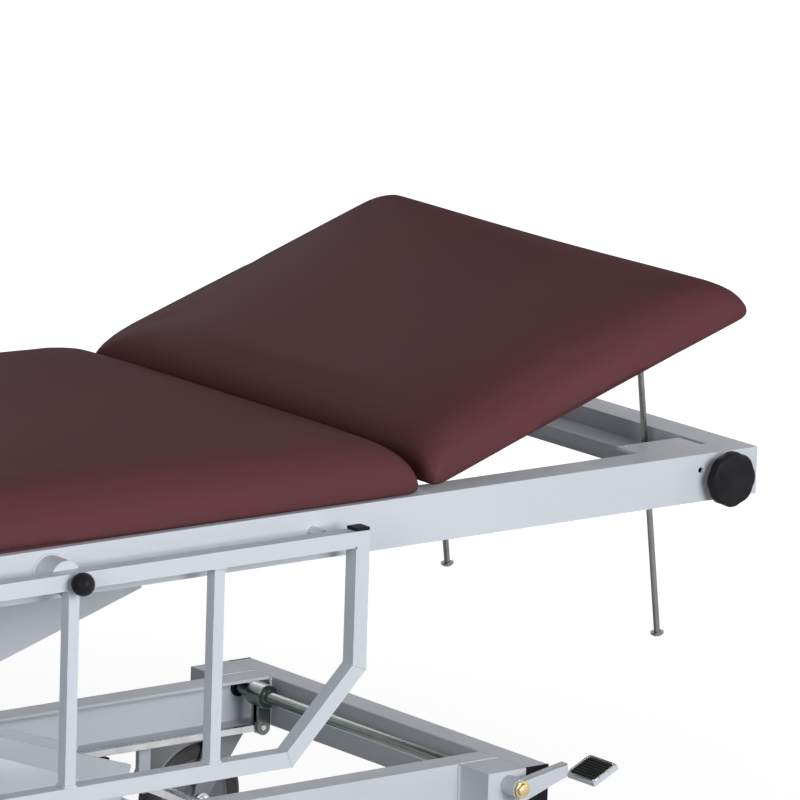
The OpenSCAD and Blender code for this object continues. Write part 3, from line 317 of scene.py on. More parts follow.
vinylLook = {"toneScale": 2.2, "dark": (0.094, 0.033, 0.038), "light": (0.106, 0.039, 0.045),
             "warpScale": 35.0, "rough": 0.48, "roughBelow": 0.035, "roughAbove": 0.035,
             "cellScale": 620.0, "cellEdge": 0.18, "cellBump": 0.10, "cellDepth": 0.0004,
             "poreScale": 1500.0, "poreBump": 0.08, "poreDepth": 0.0002, "coat": 0.09, "coatRough": 0.36}
maroonVinyl = vinylMaterial("maroonVinyl", vinylLook)
boardVinyl = vinylMaterial("boardVinyl", dict(vinylLook, dark=(0.070, 0.025, 0.029),
                                              light=(0.078, 0.029, 0.034)))
print("materials ready")


# dressed CAD nodes

finishes = {
    "paint": (greyPaint, 1.2), "dark_paint": (darkPaint, 1.2), "plated_steel": (zincSteel, 0.6),
    "castor_grey": (castorPaint, 0.8), "grey_plastic": (greyPlastic, 1.0),
    "black_plastic": (blackPlastic, 0.8), "rubber": (blackRubber, 0.8), "tyre": (tyreRubber, 1.5),
    "plywood": (boardVinyl, 0.6),
}
edgeOf = {  # wider rounding on rolled tubes, in millimetres
    "deck_rail_near": 3.0, "deck_rail_far": 3.0, "deck_cross_tubes": 2.0, "guard_near": 2.6,
    "guard_far": 2.6, "base_end_tubes": 3.0, "base_side_near": 2.4, "base_side_far": 2.4,
    "castor_blocks": 1.6,
}
ownFinish = {  # nodes whose look differs from their slot's
    "support_rods": rodSteel, "brake_shaft_head": shaftSteel, "brake_shaft_foot": shaftSteel,
    "seat_board": boardVinyl, "backrest_board": boardVinyl,
}
# these nodes get a new mesh below
ownMesh = {"seat_pad", "backrest_pad", "clamp_knob_near", "clamp_knob_far",
           "guard_plunger_near", "guard_plunger_far"}
for entry in frame["record"]["subparts"]:
    nodeName = entry["node"]
    if nodeName in ownMesh:
        continue
    finish, rounding = finishes[entry["material_slot"]]
    dressNode(nodeName, ownFinish.get(nodeName, finish), edgeOf.get(nodeName, rounding),
              3 if nodeName in edgeOf else 2)
print("CAD nodes dressed")


# clamp knobs

knobSize = {"radius": 0.035, "rimStart": 0.0133, "rim": 0.017, "neck": 0.015, "neckStart": 0.0003,
            "neckChamfer": 0.001, "neckFlare": 0.003, "neckFlareHeight": 0.002, "backRound": 0.004,
            "frontRound": 0.0055, "dome": 0.0020, "domeShares": (0.85, 0.65, 0.45, 0.25, 0.0),
            "spindle": 0.004, "spindleTip": 0.0036, "spindleChamfer": 0.0005, "lobes": 8,
            "lobeDepth": 0.0016, "lobeFrom": 0.02, "segments": 192, "railFace": 0.360}


def clampKnob(side, sign):
    # heights are measured outwards from the rail's face
    k = knobSize
    low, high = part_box("clamp_knob_" + side)
    center = ((low.x + high.x) / 2, sign * k["railFace"], (low.z + high.z) / 2)
    spindleEnd = abs(low.y if sign > 0 else high.y) - k["railFace"]
    r, s, neck, back, front = k["radius"], k["rimStart"], k["neck"], k["backRound"], k["frontRound"]
    top = s + k["rim"] - k["dome"]
    turn = np.linspace(0, np.pi / 2, 7)[1:]
    profile = [(0, spindleEnd), (k["spindleTip"], spindleEnd),
               (k["spindle"], spindleEnd + k["spindleChamfer"]), (k["spindle"], k["neckStart"]),
               (neck - k["neckChamfer"], k["neckStart"]), (neck, k["neckStart"] + k["neckChamfer"]),
               (neck, s - k["neckFlareHeight"]), (neck + k["neckFlare"], s), (r - back, s)]
    profile += [(r - back + back * math.sin(a), s + back - back * math.cos(a)) for a in turn]
    profile += [(r, top - front)]
    profile += [(r - front + front * math.cos(a), top - front + front * math.sin(a)) for a in turn]
    profile += [((r - front) * q, s + k["rim"] - k["dome"] * q * q) for q in k["domeShares"]]
    piece = closedLathe("clampKnob" + side.capitalize(), profile, k["segments"], center,
                        (0, sign, 0), "knob_" + side, "black_plastic", blackPlastic,
                        lobes=k["lobes"], lobeDepth=k["lobeDepth"], lobeFrom=k["lobeFrom"])
    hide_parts("clamp_knob_" + side)


# guard plungers

plungerSize = {"ball": 0.014, "rod": 0.004, "rodChamfer": 0.0008, "collar": 0.0075,
               "collarStart": 0.4153, "collarChamfer": 0.0005, "steps": 18, "segments": 64}


def guardPlunger(side, sign):
    p = plungerSize
    low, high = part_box("guard_plunger_" + side)
    tip = max(abs(low.y), abs(high.y))
    inner = min(abs(low.y), abs(high.y))
    ball, collar, start, edge = p["ball"], p["collar"], p["collarStart"], p["collarChamfer"]
    turn = np.linspace(-np.pi / 2 + math.asin(collar / ball), np.pi / 2, p["steps"])
    profile = [(0, inner), (p["rod"], inner + p["rodChamfer"]), (p["rod"], start),
               (collar - edge, start), (collar, start + edge)]
    profile += [(ball * math.cos(a), tip - ball + ball * math.sin(a)) for a in turn]
    piece = closedLathe("guardPlunger" + side.capitalize(), profile, p["segments"],
                        (0, 0, (low.z + high.z) / 2), (0, sign, 0), "plunger_" + side,
                        "black_plastic", blackPlastic)
    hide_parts("guard_plunger_" + side)


for sideName, sideSign in (("near", -1), ("far", 1)):
    clampKnob(sideName, sideSign)
    guardPlunger(sideName, sideSign)
print("knobs and plungers made")


# mattress sections

# lengths in metres; corners are nearly square at the bottom and rounder above the edge
padLook = {"corner": 0.013, "topCorner": 0.042, "cornerFall": 0.12, "edge": 0.050, "flat": 0.008,
           "flatBase": 0.0003, "tuck": 0.003, "draw": 0.004, "power": 3.2, "crownShare": 0.9,
           "topShares": (0.06, 0.13, 0.21, 0.30, 0.40, 0.52, 0.65), "shrink": 0.0025,
           "cornerSteps": 12, "sideSteps": 40, "edgeSteps": 14, "voxel": 0.007,
           "underHeight": 0.02, "underInset": 0.0125, "boardProud": 0.004, "fill": 0.8}
clothLook = {"pressure": 0.5, "frames": 20, "quality": 5, "mass": 0.6, "stretch": 25, "shear": 12,
             "bend": 3.0, "heldHeight": 0.012, "cap": 0.0035, "calm": 0.09}


def fillRing(ring):
    # quads across a closed ring; its quarters, from corner to corner, are the patch's sides
    count = len(ring)
    n = count // 4
    start = padLook["cornerSteps"] // 2
    ring = np.roll(ring, -start, 0)
    a, b = ring[:n + 1], ring[n:2 * n + 1]
    c, d = ring[2 * n:3 * n + 1][::-1], np.vstack([ring[3 * n:], ring[:1]])[::-1]
    u = np.linspace(0, 1, n + 1)[:, None, None]
    v = np.linspace(0, 1, n + 1)[None, :, None]
    patch = ((1 - v) * a[:, None, :] + v * c[:, None, :] + (1 - u) * d[None, :, :] + u * b[None, :, :]
             - (1 - u) * (1 - v) * a[0] - u * (1 - v) * a[-1] - (1 - u) * v * c[0] - u * v * c[-1])
    number = np.zeros((n + 1, n + 1), int)
    for k in range(n):
        number[k, 0], number[n, k] = k, n + k
        number[n - k, n], number[0, n - k] = 2 * n + k, 3 * n + k
    number = (number + start) % count
    number[1:n, 1:n] = count + np.arange((n - 1) ** 2).reshape(n - 1, n - 1)
    quads = np.stack([number[:-1, :-1], number[1:, :-1], number[1:, 1:], number[:-1, 1:]], -1)
    return patch[1:n, 1:n].reshape(-1, 3), quads.reshape(-1, 4)


def padForm(length, width, height, crown, gap):
    # rings of a rounded rectangle: tucked underside, rounded edge, low crown
    p = padLook
    edge, flat = p["edge"], p["flat"]
    levels = [(p["tuck"], p["flatBase"], 0.0), (0.0, flat / 2, 1.0)]  # inset, height, drawing in
    for w in np.linspace(0, np.pi / 2, p["edgeSteps"]):
        levels.append((edge * (1 - math.cos(w)), flat + (height - flat) * math.sin(w), math.cos(w)))
    inner = min(length, width) / 2 - edge
    levels += [(edge + inner * s, height, 0.0) for s in p["topShares"]]
    rows = []
    for inset, z, draw in levels:
        up = min(inset / edge, 1.0)
        r = p["corner"] + (p["topCorner"] - p["corner"]) * up - max(inset - edge, 0) * p["cornerFall"]
        cx, cy = length / 2 - inset - r, width / 2 - inset - r
        ring = []
        signs = [(1, 1), (-1, 1), (-1, -1), (1, -1)]
        for q in range(4):
            sx, sy = signs[q]
            nx, ny = signs[(q + 1) % 4]
            a = np.pi / 2 * (q + np.linspace(0, 1, p["cornerSteps"] + 1))
            ring.append(np.stack([sx * cx + r * np.cos(a), sy * cy + r * np.sin(a)], -1))
            t = np.linspace(0, 1, p["sideSteps"] + 1)[1:-1]
            a = np.pi / 2 * (q + 1)
            pull = draw * p["draw"] * 4 * t * (1 - t)
            ring.append(np.stack([cx * (sx + (nx - sx) * t) + (r - pull) * math.cos(a),
                                  cy * (sy + (ny - sy) * t) + (r - pull) * math.sin(a)], -1))
        ring = np.concatenate(ring)
        rows.append(np.column_stack([ring, np.full(len(ring), z)]))
    rows = np.array(rows)
    count = rows.shape[1]
    last = (len(rows) - 1) * count
    added, quads = fillRing(rows[-1])
    added[:, 2] = height
    verts = np.concatenate([rows.reshape(-1, 3), added])
    depth = np.column_stack([length / 2 - np.abs(verts[:, 0]), width / 2 - np.abs(verts[:, 1])])
    lift = 1 - (1 - np.clip(depth / (inner + edge), 0, 1)) ** p["power"]
    rise = np.clip((verts[:, 2] - flat) / (height - flat), 0, 1)
    verts[:, 2] += crown * rise * lift[:, 0] * lift[:, 1]
    faces = gridFaces(len(rows), count)
    faces.append(list(range(count))[::-1])
    faces += (quads + last).tolist()
    verts[:, 0] += gap + length / 2
    return verts, faces


def simulatePad(piece, gap):
    # swells the skin with a little air: underside held, movement capped and calm at the hinge
    c = clothLook
    mesh = piece.data
    before = np.empty(len(mesh.vertices) * 3, np.float32)
    mesh.vertices.foreach_get("co", before)
    before = before.reshape(-1, 3)
    group = piece.vertex_groups.new(name="held")
    low = np.nonzero(before[:, 2] < c["heldHeight"])[0]
    group.add([int(i) for i in low], 1.0, "REPLACE")
    cloth = piece.modifiers.new("swell", "CLOTH")
    s = cloth.settings
    s.quality = c["quality"]
    s.mass = c["mass"]
    s.tension_stiffness = c["stretch"]
    s.compression_stiffness = c["stretch"]
    s.shear_stiffness = c["shear"]
    s.bending_stiffness = c["bend"]
    s.use_pressure = True
    s.uniform_pressure_force = c["pressure"]
    s.vertex_group_mass = "held"
    s.effector_weights.gravity = 0
    cloth.collision_settings.use_collision = False
    cloth.collision_settings.use_self_collision = False
    cloth.point_cache.frame_start = 1
    cloth.point_cache.frame_end = c["frames"]
    for f in range(1, c["frames"] + 1):
        bpy.context.scene.frame_set(f)
    graph = bpy.context.evaluated_depsgraph_get()
    moved = np.empty(len(mesh.vertices) * 3, np.float32)
    piece.evaluated_get(graph).data.vertices.foreach_get("co", moved)
    moved = moved.reshape(-1, 3)
    piece.modifiers.remove(cloth)
    piece.vertex_groups.clear()
    bpy.context.scene.frame_set(1)
    step = moved - before
    far = np.linalg.norm(step, axis=1)
    cap = np.minimum(1.0, c["cap"] / np.maximum(far, 1e-9))
    calm = np.clip((before[:, 0] - gap) / c["calm"], 0, 1)
    after = before + step * (cap * calm * calm * (3 - 2 * calm))[:, None]
    print("  pad swelled by up to %.1f mm, mean %.1f mm" % (far.max() * 1000, far.mean() * 1000))
    mesh.vertices.foreach_set("co", after.astype(np.float32).ravel())


def makePad(name, node, body, place, length, width, height, crown, gap):
    # closed form, remeshed, swelled by cloth with pressure, then laid in its place
    p = padLook
    s = p["shrink"]
    verts, faces = padForm(length - 2 * s, width - 2 * s, height - s, crown * p["crownShare"], gap + s)
    piece = newPiece(name, verts, faces, body, maroonVinyl)
    piece.parent = None
    bpy.context.view_layer.objects.active = piece
    remesh = piece.modifiers.new("even skin", "REMESH")
    remesh.mode = "VOXEL"
    remesh.voxel_size = p["voxel"]
    graph = bpy.context.evaluated_depsgraph_get()
    even = bpy.data.meshes.new_from_object(piece.evaluated_get(graph))
    piece.modifiers.clear()
    piece.data = even
    simulatePad(piece, gap)
    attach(piece, body)
    count = len(piece.data.vertices)
    co = np.empty(count * 3, np.float32)
    piece.data.vertices.foreach_get("co", co)
    # the skin stays inside its plan rectangle and under its crown height
    co = np.clip(co.reshape(-1, 3).astype(float), (gap, -width / 2, 0),
                 (gap + length, width / 2, height + crown))
    inset = np.minimum(np.minimum(co[:, 0] - gap, gap + length - co[:, 0]), width / 2 - np.abs(co[:, 1]))
    under = (co[:, 2] < p["underHeight"]) & (inset > p["underInset"])
    co[under, 2] = np.maximum(co[under, 2], p["boardProud"])  # clear of the board inside
    co = np.column_stack([co, np.ones(count)]) @ np.array(place).T
    piece.data.vertices.foreach_set("co", co[:, :3].astype(np.float32).ravel())
    smoothShade(piece, 180)
    if not piece.data.materials:
        piece.data.materials.append(maroonVinyl)
    finer = piece.modifiers.new("smooth skin", "SUBSURF")
    finer.levels = finer.render_levels = 1
    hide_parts(node)
    return piece


# both start at the hinge, the seat towards the foot and the backrest, tilted, towards the head
padSize = {"width": 0.726, "gap": 0.006, "height": 0.0595, "crown": 0.0145, "backLength": 0.529,
           "backAngle": 18.4, "backDrop": 0.0067, "seatLength": 1.633, "seatHeight": 0.062,
           "seatCrown": 0.022, "seatBase": 0.620, "hinge": (0.558, 0, 0.627)}


def placePads():
    z = padSize
    hinge = Vector(z["hinge"])
    seatPlace = Matrix.Translation((hinge.x, 0, z["seatBase"])) @ Matrix.Scale(-1, 4, (1, 0, 0))
    backPlace = (Matrix.Translation(hinge) @ Matrix.Rotation(-math.radians(z["backAngle"]), 4, "Y")
                 @ Matrix.Translation((0, 0, -z["backDrop"])))
    seatCover = makePad("seatCover", "seat_pad", "deck", seatPlace, z["seatLength"] - z["gap"],
                        z["width"], z["seatHeight"], z["seatCrown"], z["gap"])
    seatCover.data.flip_normals()  # its place mirrors it
    makePad("backrestCover", "backrest_pad", "backrest", backPlace, z["backLength"] - z["gap"],
            z["width"], z["height"], z["crown"], z["gap"])


placePads()
print("mattress sections made")


# welds, screws and small fittings

def tubeSurface(path, radii, segments=8, closed=False):
    # a circle of changing radius carried along a path; returns points and faces
    path = np.asarray(path, float)
    radii = np.ones(len(path)) * radii
    tangent = (np.roll(path, -1, 0) - np.roll(path, 1, 0)) if closed else np.gradient(path, axis=0)
    tangent = tangent / np.linalg.norm(tangent, axis=1)[:, None]
    helper = np.where(np.abs(tangent[:, 2:3]) < 0.9, [[0.0, 0.0, 1.0]], [[0.0, 1.0, 0.0]])
    side = np.cross(tangent, helper)
    side /= np.linalg.norm(side, axis=1)[:, None]
    top = np.cross(side, tangent)
    turn = np.linspace(0, 2 * np.pi, segments, endpoint=False)
    ring = np.cos(turn)[None, :, None] * side[:, None, :] + np.sin(turn)[None, :, None] * top[:, None, :]
    points = path[:, None, :] + radii[:, None, None] * ring
    faces = gridFaces(len(path), segments, closed)
    if not closed:
        faces.append(list(range(segments)))
        faces.append([(len(path) - 1) * segments + i for i in range(segments)][::-1])
    return points.reshape(-1, 3), faces


def mergedPiece(name, parts, body, material):
    # several closed surfaces kept as one piece
    verts, faces, start = [], [], 0
    for partVerts, partFaces in parts:
        verts.append(partVerts)
        faces += [[i + start for i in f] for f in partFaces]
        start += len(partVerts)
    piece = newPiece(name, np.concatenate(verts), faces, body, material)
    faceOutwards(piece)
    smoothShade(piece, 50.0)


weldLook = {"ripple": 0.22, "pitch": 0.0032, "step": 0.0009, "sides": 8}


def weldRun(corners, radius, closed=False):
    # a bead between points: its radius swells and shrinks once for each ripple
    w = weldLook
    corners = np.asarray(corners, float)
    if closed:
        corners = np.vstack([corners, corners[:1]])
    lengths = np.linalg.norm(np.diff(corners, axis=0), axis=1)
    along = np.concatenate([[0], np.cumsum(lengths)])
    count = max(int(along[-1] / w["step"]), 6)
    at = np.linspace(0, along[-1], count, endpoint=not closed)
    path = np.column_stack([np.interp(at, along, corners[:, k]) for k in range(3)])
    radii = radius * (1 + w["ripple"] * np.abs(np.sin(np.pi * at / w["pitch"])))
    return tubeSurface(path, radii, w["sides"], closed)


def turnedPart(profile, segments, center, axis):
    # a profile of (radius, height) turned round an axis and closed on it
    verts, faces = lathe(profile, segments, center, axis)
    last = (len(profile) - 1) * segments
    faces.append(list(range(segments))[::-1])
    faces.append([last + i for i in range(segments)])
    return verts, faces


def hexHead(center, axis, across, height):
    # six-sided head with a chamfered rim and a washer under it
    r = across / math.sqrt(3)
    washer = turnedPart([(r * 1.25, 0), (r * 1.25, height * 0.22), (r * 1.05, height * 0.25)], 28,
                        center, axis)
    head = turnedPart([(r, height * 0.2), (r, height * 0.85), (r * 0.88, height)], 6, center, axis)
    return [washer, head]


def domedHead(center, axis, radius, height):
    # low dome with a socket ring
    bend = np.linspace(0, np.pi / 2, 6)[:-1]
    profile = [(radius, 0)]
    profile += [(radius * math.cos(a) + 1e-5, 0.0003 + height * math.sin(a)) for a in bend]
    profile += [(radius * 0.36, height + 0.0002), (radius * 0.33, height * 0.45),
                (radius * 0.05, height * 0.4)]
    return [turnedPart(profile, 24, center, axis)]


# places of the welded joints in metres, as the CAD has them
guardSize = {"y": 0.405, "top": 0.583, "bottom": 0.346, "halfTube": 0.010, "barPitch": 0.209,
             "halfBar": 0.0077, "lift": 0.0008, "innerX": 0.408, "outerX": 0.428,
             "upperMitre": (0.440, 0.4319), "lowerMitre": (0.3139, 0.3221), "lowerZ": (0.346, 0.326),
             "barBead": 0.0017, "mitreBead": 0.0008, "topBead": 0.0016}


def guardWelds(side, sign):
    g = guardSize
    y, half = sign * g["y"], g["halfTube"]
    runs = []
    for x in (-g["barPitch"], 0.0, g["barPitch"]):
        for z in (g["top"] - g["lift"], g["bottom"] + g["lift"]):
            b = g["halfBar"]
            ring = [(x + dx, y + dy, z) for dx, dy in ((-b, -b), (b, -b), (b, b), (-b, b))]
            runs.append(weldRun(ring, g["barBead"], True))
    upper = (g["innerX"], g["upperMitre"][0], g["outerX"], g["upperMitre"][1])
    lower = (g["lowerMitre"][0], g["lowerZ"][0], g["lowerMitre"][1], g["lowerZ"][1])
    for s in (-1, 1):
        for xa, za, xb, zb in (upper, lower):
            for d in (-half, half):
                runs.append(weldRun([(s * xa, y + d, za), (s * xb, y + d, zb)], g["mitreBead"]))
        runs.append(weldRun([(s * g["innerX"], y + d, g["top"]) for d in (-half, half)], g["topBead"]))
    mergedPiece("guardWelds" + side.capitalize(), runs, "guard_" + side, greyPaint)


deckSize = {"railIn": 0.3148, "plateIn": 0.3155, "bossOut": 0.3603, "endX": 1.030, "endDepth": 0.044,
            "endZ": (0.5605, 0.6155), "underZ": 0.5602, "tubeX": (0.538, 0.578, 0.283, 0.323),
            "tubeZ": (0.5605, 0.6195), "plateX": (0.9215, 1.020), "plateZ": 0.6157,
            "guideX": (0.985, 1.030), "guideZ": (0.584, 0.597), "bossZ": 0.593, "bossRadius": 0.0212,
            "endBead": 0.0019, "tubeBead": 0.0021, "plateBead": 0.0015, "bossBead": 0.0016}
baseSize = {"sideEnd": 0.764, "sideOut": 0.252, "sideIn": 0.217, "blockLength": 0.059,
            "sideZ": (0.175, 0.238), "underZ": 0.1738, "underY": (0.001, 0.057),
            "topZ": 0.2390, "castorX": 0.7345,
            "castorY": 0.281, "brakeX": 0.736, "brakeZ": 0.222, "sideBead": 0.0022, "underBead": 0.0018,
            "topBead": 0.0010, "proud": 0.0003, "sunk": 0.0005}


def deckWelds():
    d = deckSize
    runs = []
    for s in (-1, 1):
        rail = s * d["railIn"]
        for x in (d["endX"], -d["endX"]):  # end tubes against the rails
            deep = x + math.copysign(d["endDepth"], x)
            runs.append(weldRun([(x, rail, z) for z in d["endZ"]], d["endBead"]))
            runs.append(weldRun([(x, rail, d["underZ"]), (deep, rail, d["underZ"])], d["tubeBead"]))
        for x in d["tubeX"]:
            runs.append(weldRun([(x, rail, z) for z in d["tubeZ"]], d["tubeBead"]))
        runs.append(weldRun([(x, s * d["plateIn"], d["plateZ"]) for x in d["plateX"]], d["plateBead"]))
        for x in d["guideX"]:
            runs.append(weldRun([(x, rail, z) for z in d["guideZ"]], d["plateBead"]))
        ring = np.linspace(0, 2 * np.pi, 40, endpoint=False)
        around = np.column_stack([d["bossRadius"] * np.cos(ring), np.full(40, s * d["bossOut"]),
                                  d["bossZ"] + d["bossRadius"] * np.sin(ring)])
        runs.append(weldRun(around, d["bossBead"], True))
    mergedPiece("deckWelds", runs, "deck", greyPaint)


def baseWelds():
    b = baseSize
    end, inside, out = b["sideEnd"], b["sideIn"] - b["sunk"], b["sideOut"] + b["proud"]
    block = end - b["blockLength"]
    runs = []
    for s in (-1, 1):
        for e in (-1, 1):
            runs.append(weldRun([(e * block, s * out, z) for z in b["sideZ"]], b["sideBead"]))
            runs.append(weldRun([(e * end, s * inside, z) for z in b["sideZ"]], b["sideBead"]))
            runs.append(weldRun([(e * (end + b["sunk"]), s * (b["sideOut"] + y), b["underZ"])
                                 for y in b["underY"]], b["underBead"]))
            runs.append(weldRun([(e * x, s * out, b["topZ"]) for x in (block, end)], b["topBead"]))
    mergedPiece("baseWelds", runs, "base", greyPaint)


# each entry is place, across or radius, and height; y and axis change sign with the side
screwSize = {
    "leafScrewX": (0.503, 0.528), "leafScrew": (0.230, 0.6200, 0.0035, 0.0012),
    "boardBoltX": (-0.90, -0.35, 0.20), "boardBolt": (0.30, 0.6199, 0.010, 0.0045),
    "armBolt": (0.303, 0.0861, 0.5052, 0.030, 0.007), "armCap": (0.303, 0.2043, 0.0135, 0.0035),
    "brakeCapY": 0.310, "brakeCap": (0.0095, 0.003),
    "pedalBoltInset": 0.0048, "pedalBolt": (0.0148, 0.0055),
    "axleTrail": 0.049, "axleZ": 0.075, "forkHalf": 0.029, "axleNut": (0.016, 0.005),
}


def fastenings():
    b, f = baseSize, screwSize
    parts = []
    for s in (-1, 1):
        y, z, radius, height = f["leafScrew"]
        for x in f["leafScrewX"]:  # hinge leaf screws, under the seat side
            parts += domedHead((x, s * y, z), (0, 0, -1), radius, height)
    for s in (-1, 1):
        y, z, across, height = f["boardBolt"]
        for x in f["boardBoltX"]:  # seat board bolts seen from below
            parts += hexHead((x, s * y, z), (0, 0, -1), across, height)
        x, y, z, across, height = f["armBolt"]
        parts += hexHead((x, s * y, z), (0, s, 0), across, height)
    mergedPiece("deckScrews", parts, "deck", zincSteel)
    parts = []
    for s in (-1, 1):
        x, z, radius, height = f["armCap"]
        parts += domedHead((x, s * b["sideOut"], z), (0, s, 0), radius, height)
        parts += domedHead((-b["brakeX"], s * f["brakeCapY"], b["brakeZ"]), (0, s, 0), *f["brakeCap"])
    parts += domedHead((b["brakeX"], f["brakeCapY"], b["brakeZ"]), (0, 1, 0), *f["brakeCap"])
    mergedPiece("baseCaps", parts, "base", zincSteel)
    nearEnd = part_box("brake_shaft_head")[0].y  # the bolt head covers the shaft's near end
    parts = hexHead((b["brakeX"], nearEnd + f["pedalBoltInset"], b["brakeZ"]), (0, -1, 0), *f["pedalBolt"])
    mergedPiece("pedalBolt", parts, "brake_head", brassSteel)
    for end, e in (("head", 1), ("foot", -1)):
        for side, s in (("near", -1), ("far", 1)):
            parts = []
            x, y = e * b["castorX"] - f["axleTrail"], s * b["castorY"]
            for t in (-1, 1):
                parts += hexHead((x, y + t * f["forkHalf"], f["axleZ"]), (0, t, 0), *f["axleNut"])
            mergedPiece("castorNuts" + end.capitalize() + side.capitalize(), parts,
                        f"castor_{end}_{side}", zincSteel)


pedalSize = {"slope": 10.6, "tilt": 15.4, "reach": 0.092, "webNear": -0.3383, "plateShift": 0.0005,
             "halfLength": 0.019, "nearEdge": -0.0485, "farEdge": 0.0015, "corner": 0.006,
             "rimTop": 0.0028, "rimRadius": 0.0017, "rimSteps": 220, "flangeX": (-0.006, 0.0725),
             "flangeZ": 0.0096, "flangeWidth": 0.0100, "flangeRadius": 0.0011, "flangeSteps": 40}


def carried(points, place):
    # points moved from a local frame to their place
    return (np.column_stack([points, np.ones(len(points))]) @ np.array(place).T)[:, :3]


def pedalTrim():
    # bright bead round the foot plate's rim and along both edges of the arm's flange
    p = pedalSize
    arm = (Matrix.Translation((baseSize["brakeX"], p["webNear"], baseSize["brakeZ"]))
           @ Matrix.Rotation(-math.radians(p["slope"]), 4, "Y"))
    plate = (arm @ Matrix.Translation((p["reach"], -p["plateShift"], 0))
             @ Matrix.Rotation(-math.radians(p["tilt"]), 4, "Y"))
    h, near, far, c = p["halfLength"], p["nearEdge"], p["farEdge"], p["corner"]
    loop = []
    for sx, sy, y, start in ((1, 1, far, 0.0), (-1, 1, far, 0.5), (-1, -1, near, 1.0), (1, -1, near, 1.5)):
        for a in np.pi * (start + np.linspace(0, 0.5, 8)):
            loop.append((sx * (h - c) + c * math.cos(a), y - sy * c + c * math.sin(a), p["rimTop"]))
    loop = np.vstack([loop, loop[:1]])
    along = np.concatenate([[0], np.cumsum(np.linalg.norm(np.diff(loop, axis=0), axis=1))])
    at = np.linspace(0, along[-1], p["rimSteps"], endpoint=False)
    path = np.column_stack([np.interp(at, along, loop[:, k]) for k in range(3)])
    parts = [tubeSurface(carried(path, plate), p["rimRadius"], 12, True)]
    for y in (0.0, p["flangeWidth"]):
        line = np.column_stack([np.linspace(*p["flangeX"], p["flangeSteps"]),
                                np.full(p["flangeSteps"], y), np.full(p["flangeSteps"], p["flangeZ"])])
        parts.append(tubeSurface(carried(line, arm), p["flangeRadius"], 10))
    mergedPiece("pedalTrim", parts, "brake_head", trimSteel)


guardWelds("near", -1)
guardWelds("far", 1)
deckWelds()
baseWelds()
fastenings()
pedalTrim()
print("welds and fastenings made")


# floor, light and camera

def seenDirectly(tree):
    # 1 for camera, glossy and transmission rays, so that metal shows the white background too
    path = tree.nodes.new("ShaderNodeLightPath")
    signal = path.outputs["Is Camera Ray"]
    for ray in ("Is Glossy Ray", "Is Transmission Ray"):
        either = tree.nodes.new("ShaderNodeMath")
        either.operation = "MAXIMUM"
        tree.links.new(signal, either.inputs[0])
        tree.links.new(path.outputs[ray], either.inputs[1])
        signal = either.outputs[0]
    return signal


def pickShader(tree, lit, shown, output):
    # the first shader lights the object, and the second is what is seen
    pick = tree.nodes.new("ShaderNodeMixShader")
    tree.links.new(seenDirectly(tree), pick.inputs[0])
    tree.links.new(lit.outputs[0], pick.inputs[1])
    tree.links.new(shown.outputs[0], pick.inputs[2])
    tree.links.new(pick.outputs[0], output.inputs["Surface"])


floorLook = {"size": 14.0, "colour": (0.30, 0.30, 0.30, 1), "rough": 0.9,
             "fade": {"From Min": 1.4, "From Max": 3.6, "To Min": 0.78, "To Max": 1.0}}


def studioFloor():
    f = floorLook
    size = f["size"]
    mesh = bpy.data.meshes.new("studioFloor")
    mesh.from_pydata([(-size, -size, 0), (size, -size, 0), (size, size, 0), (-size, size, 0)], [],
                     [(0, 1, 2, 3)])
    floor = bpy.data.objects.new("studioFloor", mesh)
    bpy.context.scene.collection.objects.link(floor)
    material, tree, shader, place = nodeMaterial("paleFloor")
    shader.inputs["Base Color"].default_value = f["colour"]
    shader.inputs["Roughness"].default_value = f["rough"]
    # the glow is weaker round the object, so that its shadow stays visible there
    glow = tree.nodes.new("ShaderNodeEmission")
    away = tree.nodes.new("ShaderNodeVectorMath")
    away.operation = "LENGTH"
    fade = tree.nodes.new("ShaderNodeMapRange")
    fade.interpolation_type = "SMOOTHSTEP"
    for socket, value in f["fade"].items():
        fade.inputs[socket].default_value = value
    tree.links.new(place, away.inputs[0])
    tree.links.new(away.outputs["Value"], fade.inputs["Value"])
    tree.links.new(fade.outputs["Result"], glow.inputs["Strength"])
    both = tree.nodes.new("ShaderNodeAddShader")
    tree.links.new(shader.outputs[0], both.inputs[0])
    tree.links.new(glow.outputs[0], both.inputs[1])
    pickShader(tree, shader, both, tree.nodes["Material Output"])
    floor.data.materials.append(material)


def softLamp(name, place, target, size, power, colour=(1, 1, 1)):
    lamp = bpy.data.lights.new(name, "AREA")
    lamp.shape = "RECTANGLE"
    lamp.size, lamp.size_y = size
    lamp.energy = power
    lamp.color = colour
    holder = bpy.data.objects.new(name, lamp)
    bpy.context.scene.collection.objects.link(holder)
    holder.location = place
    holder.rotation_euler = (Vector(target) - Vector(place)).to_track_quat("-Z", "Y").to_euler()


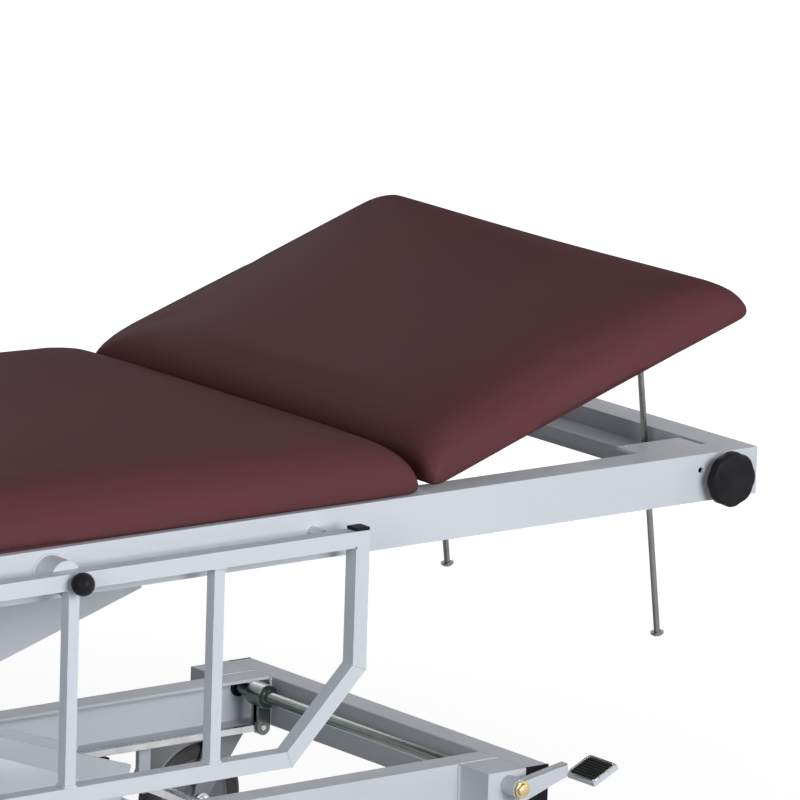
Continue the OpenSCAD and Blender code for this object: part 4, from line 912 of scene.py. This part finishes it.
lampSet = [  # name, place, target, size, watts and colour
    ("keySoftbox", (0.4, -5.0, 1.9), (0.2, 0, 0.6), (2.6, 2.2), 205, (0.985, 0.99, 1.0)),
    ("leftSoftbox", (-4.6, -2.6, 1.9), (0.2, 0, 0.6), (2.4, 2.0), 95, (0.985, 0.99, 1.0)),
    ("topSoftbox", (0.6, 0.6, 4.2), (0.2, 0, 0.6), (3.2, 2.4), 4),
    ("sideFill", (4.4, -2.2, 1.8), (0.3, 0, 0.5), (2.0, 2.0), 30),
    ("backRim", (1.4, 4.4, 2.6), (0.2, 0, 0.6), (3.0, 1.6), 44),
]
for lampValues in lampSet:
    softLamp(*lampValues)


worldLook = {"colour": (0.94, 0.97, 1.0, 1), "strength": 0.15}


def addBackground(tree, colour, strength):
    background = tree.nodes.new("ShaderNodeBackground")
    background.inputs["Color"].default_value = colour
    background.inputs["Strength"].default_value = strength
    return background


def studioWorld():
    world = bpy.data.worlds.new("studioWorld")
    bpy.context.scene.world = world
    world.use_nodes = True
    tree = world.node_tree
    tree.nodes.clear()
    light = addBackground(tree, worldLook["colour"], worldLook["strength"])
    plain = addBackground(tree, (1, 1, 1, 1), 1.0)
    pickShader(tree, light, plain, tree.nodes.new("ShaderNodeOutputWorld"))


# angles in degrees, lens and sensor in millimetres
cameraValues = {"place": (-5.241, -7.718, 2.798), "yaw": 38.01, "pitch": 12.42, "roll": 1.77,
                "lens": 360.0, "sensor": 36.0, "clip": (0.5, 60)}


def photoCamera():
    c = cameraValues
    yaw, pitch, roll = (math.radians(c[k]) for k in ("yaw", "pitch", "roll"))
    ahead = Vector((math.sin(yaw) * math.cos(pitch), math.cos(yaw) * math.cos(pitch), -math.sin(pitch)))
    right = Vector((math.cos(yaw), -math.sin(yaw), 0))
    up = right.cross(ahead)
    turnedRight = math.cos(roll) * right + math.sin(roll) * up
    turnedUp = -math.sin(roll) * right + math.cos(roll) * up
    lens = bpy.data.cameras.new("photoCamera")
    lens.sensor_width = c["sensor"]
    lens.lens = c["lens"]
    lens.clip_start, lens.clip_end = c["clip"]
    camera = bpy.data.objects.new("photoCamera", lens)
    bpy.context.scene.collection.objects.link(camera)
    camera.matrix_world = Matrix((
        (turnedRight.x, turnedUp.x, -ahead.x, c["place"][0]),
        (turnedRight.y, turnedUp.y, -ahead.y, c["place"][1]),
        (turnedRight.z, turnedUp.z, -ahead.z, c["place"][2]),
        (0, 0, 0, 1)))
    bpy.context.scene.camera = camera


studioFloor()
studioWorld()
photoCamera()
bpy.context.scene.view_settings.view_transform = "Standard"

print("scene ready")
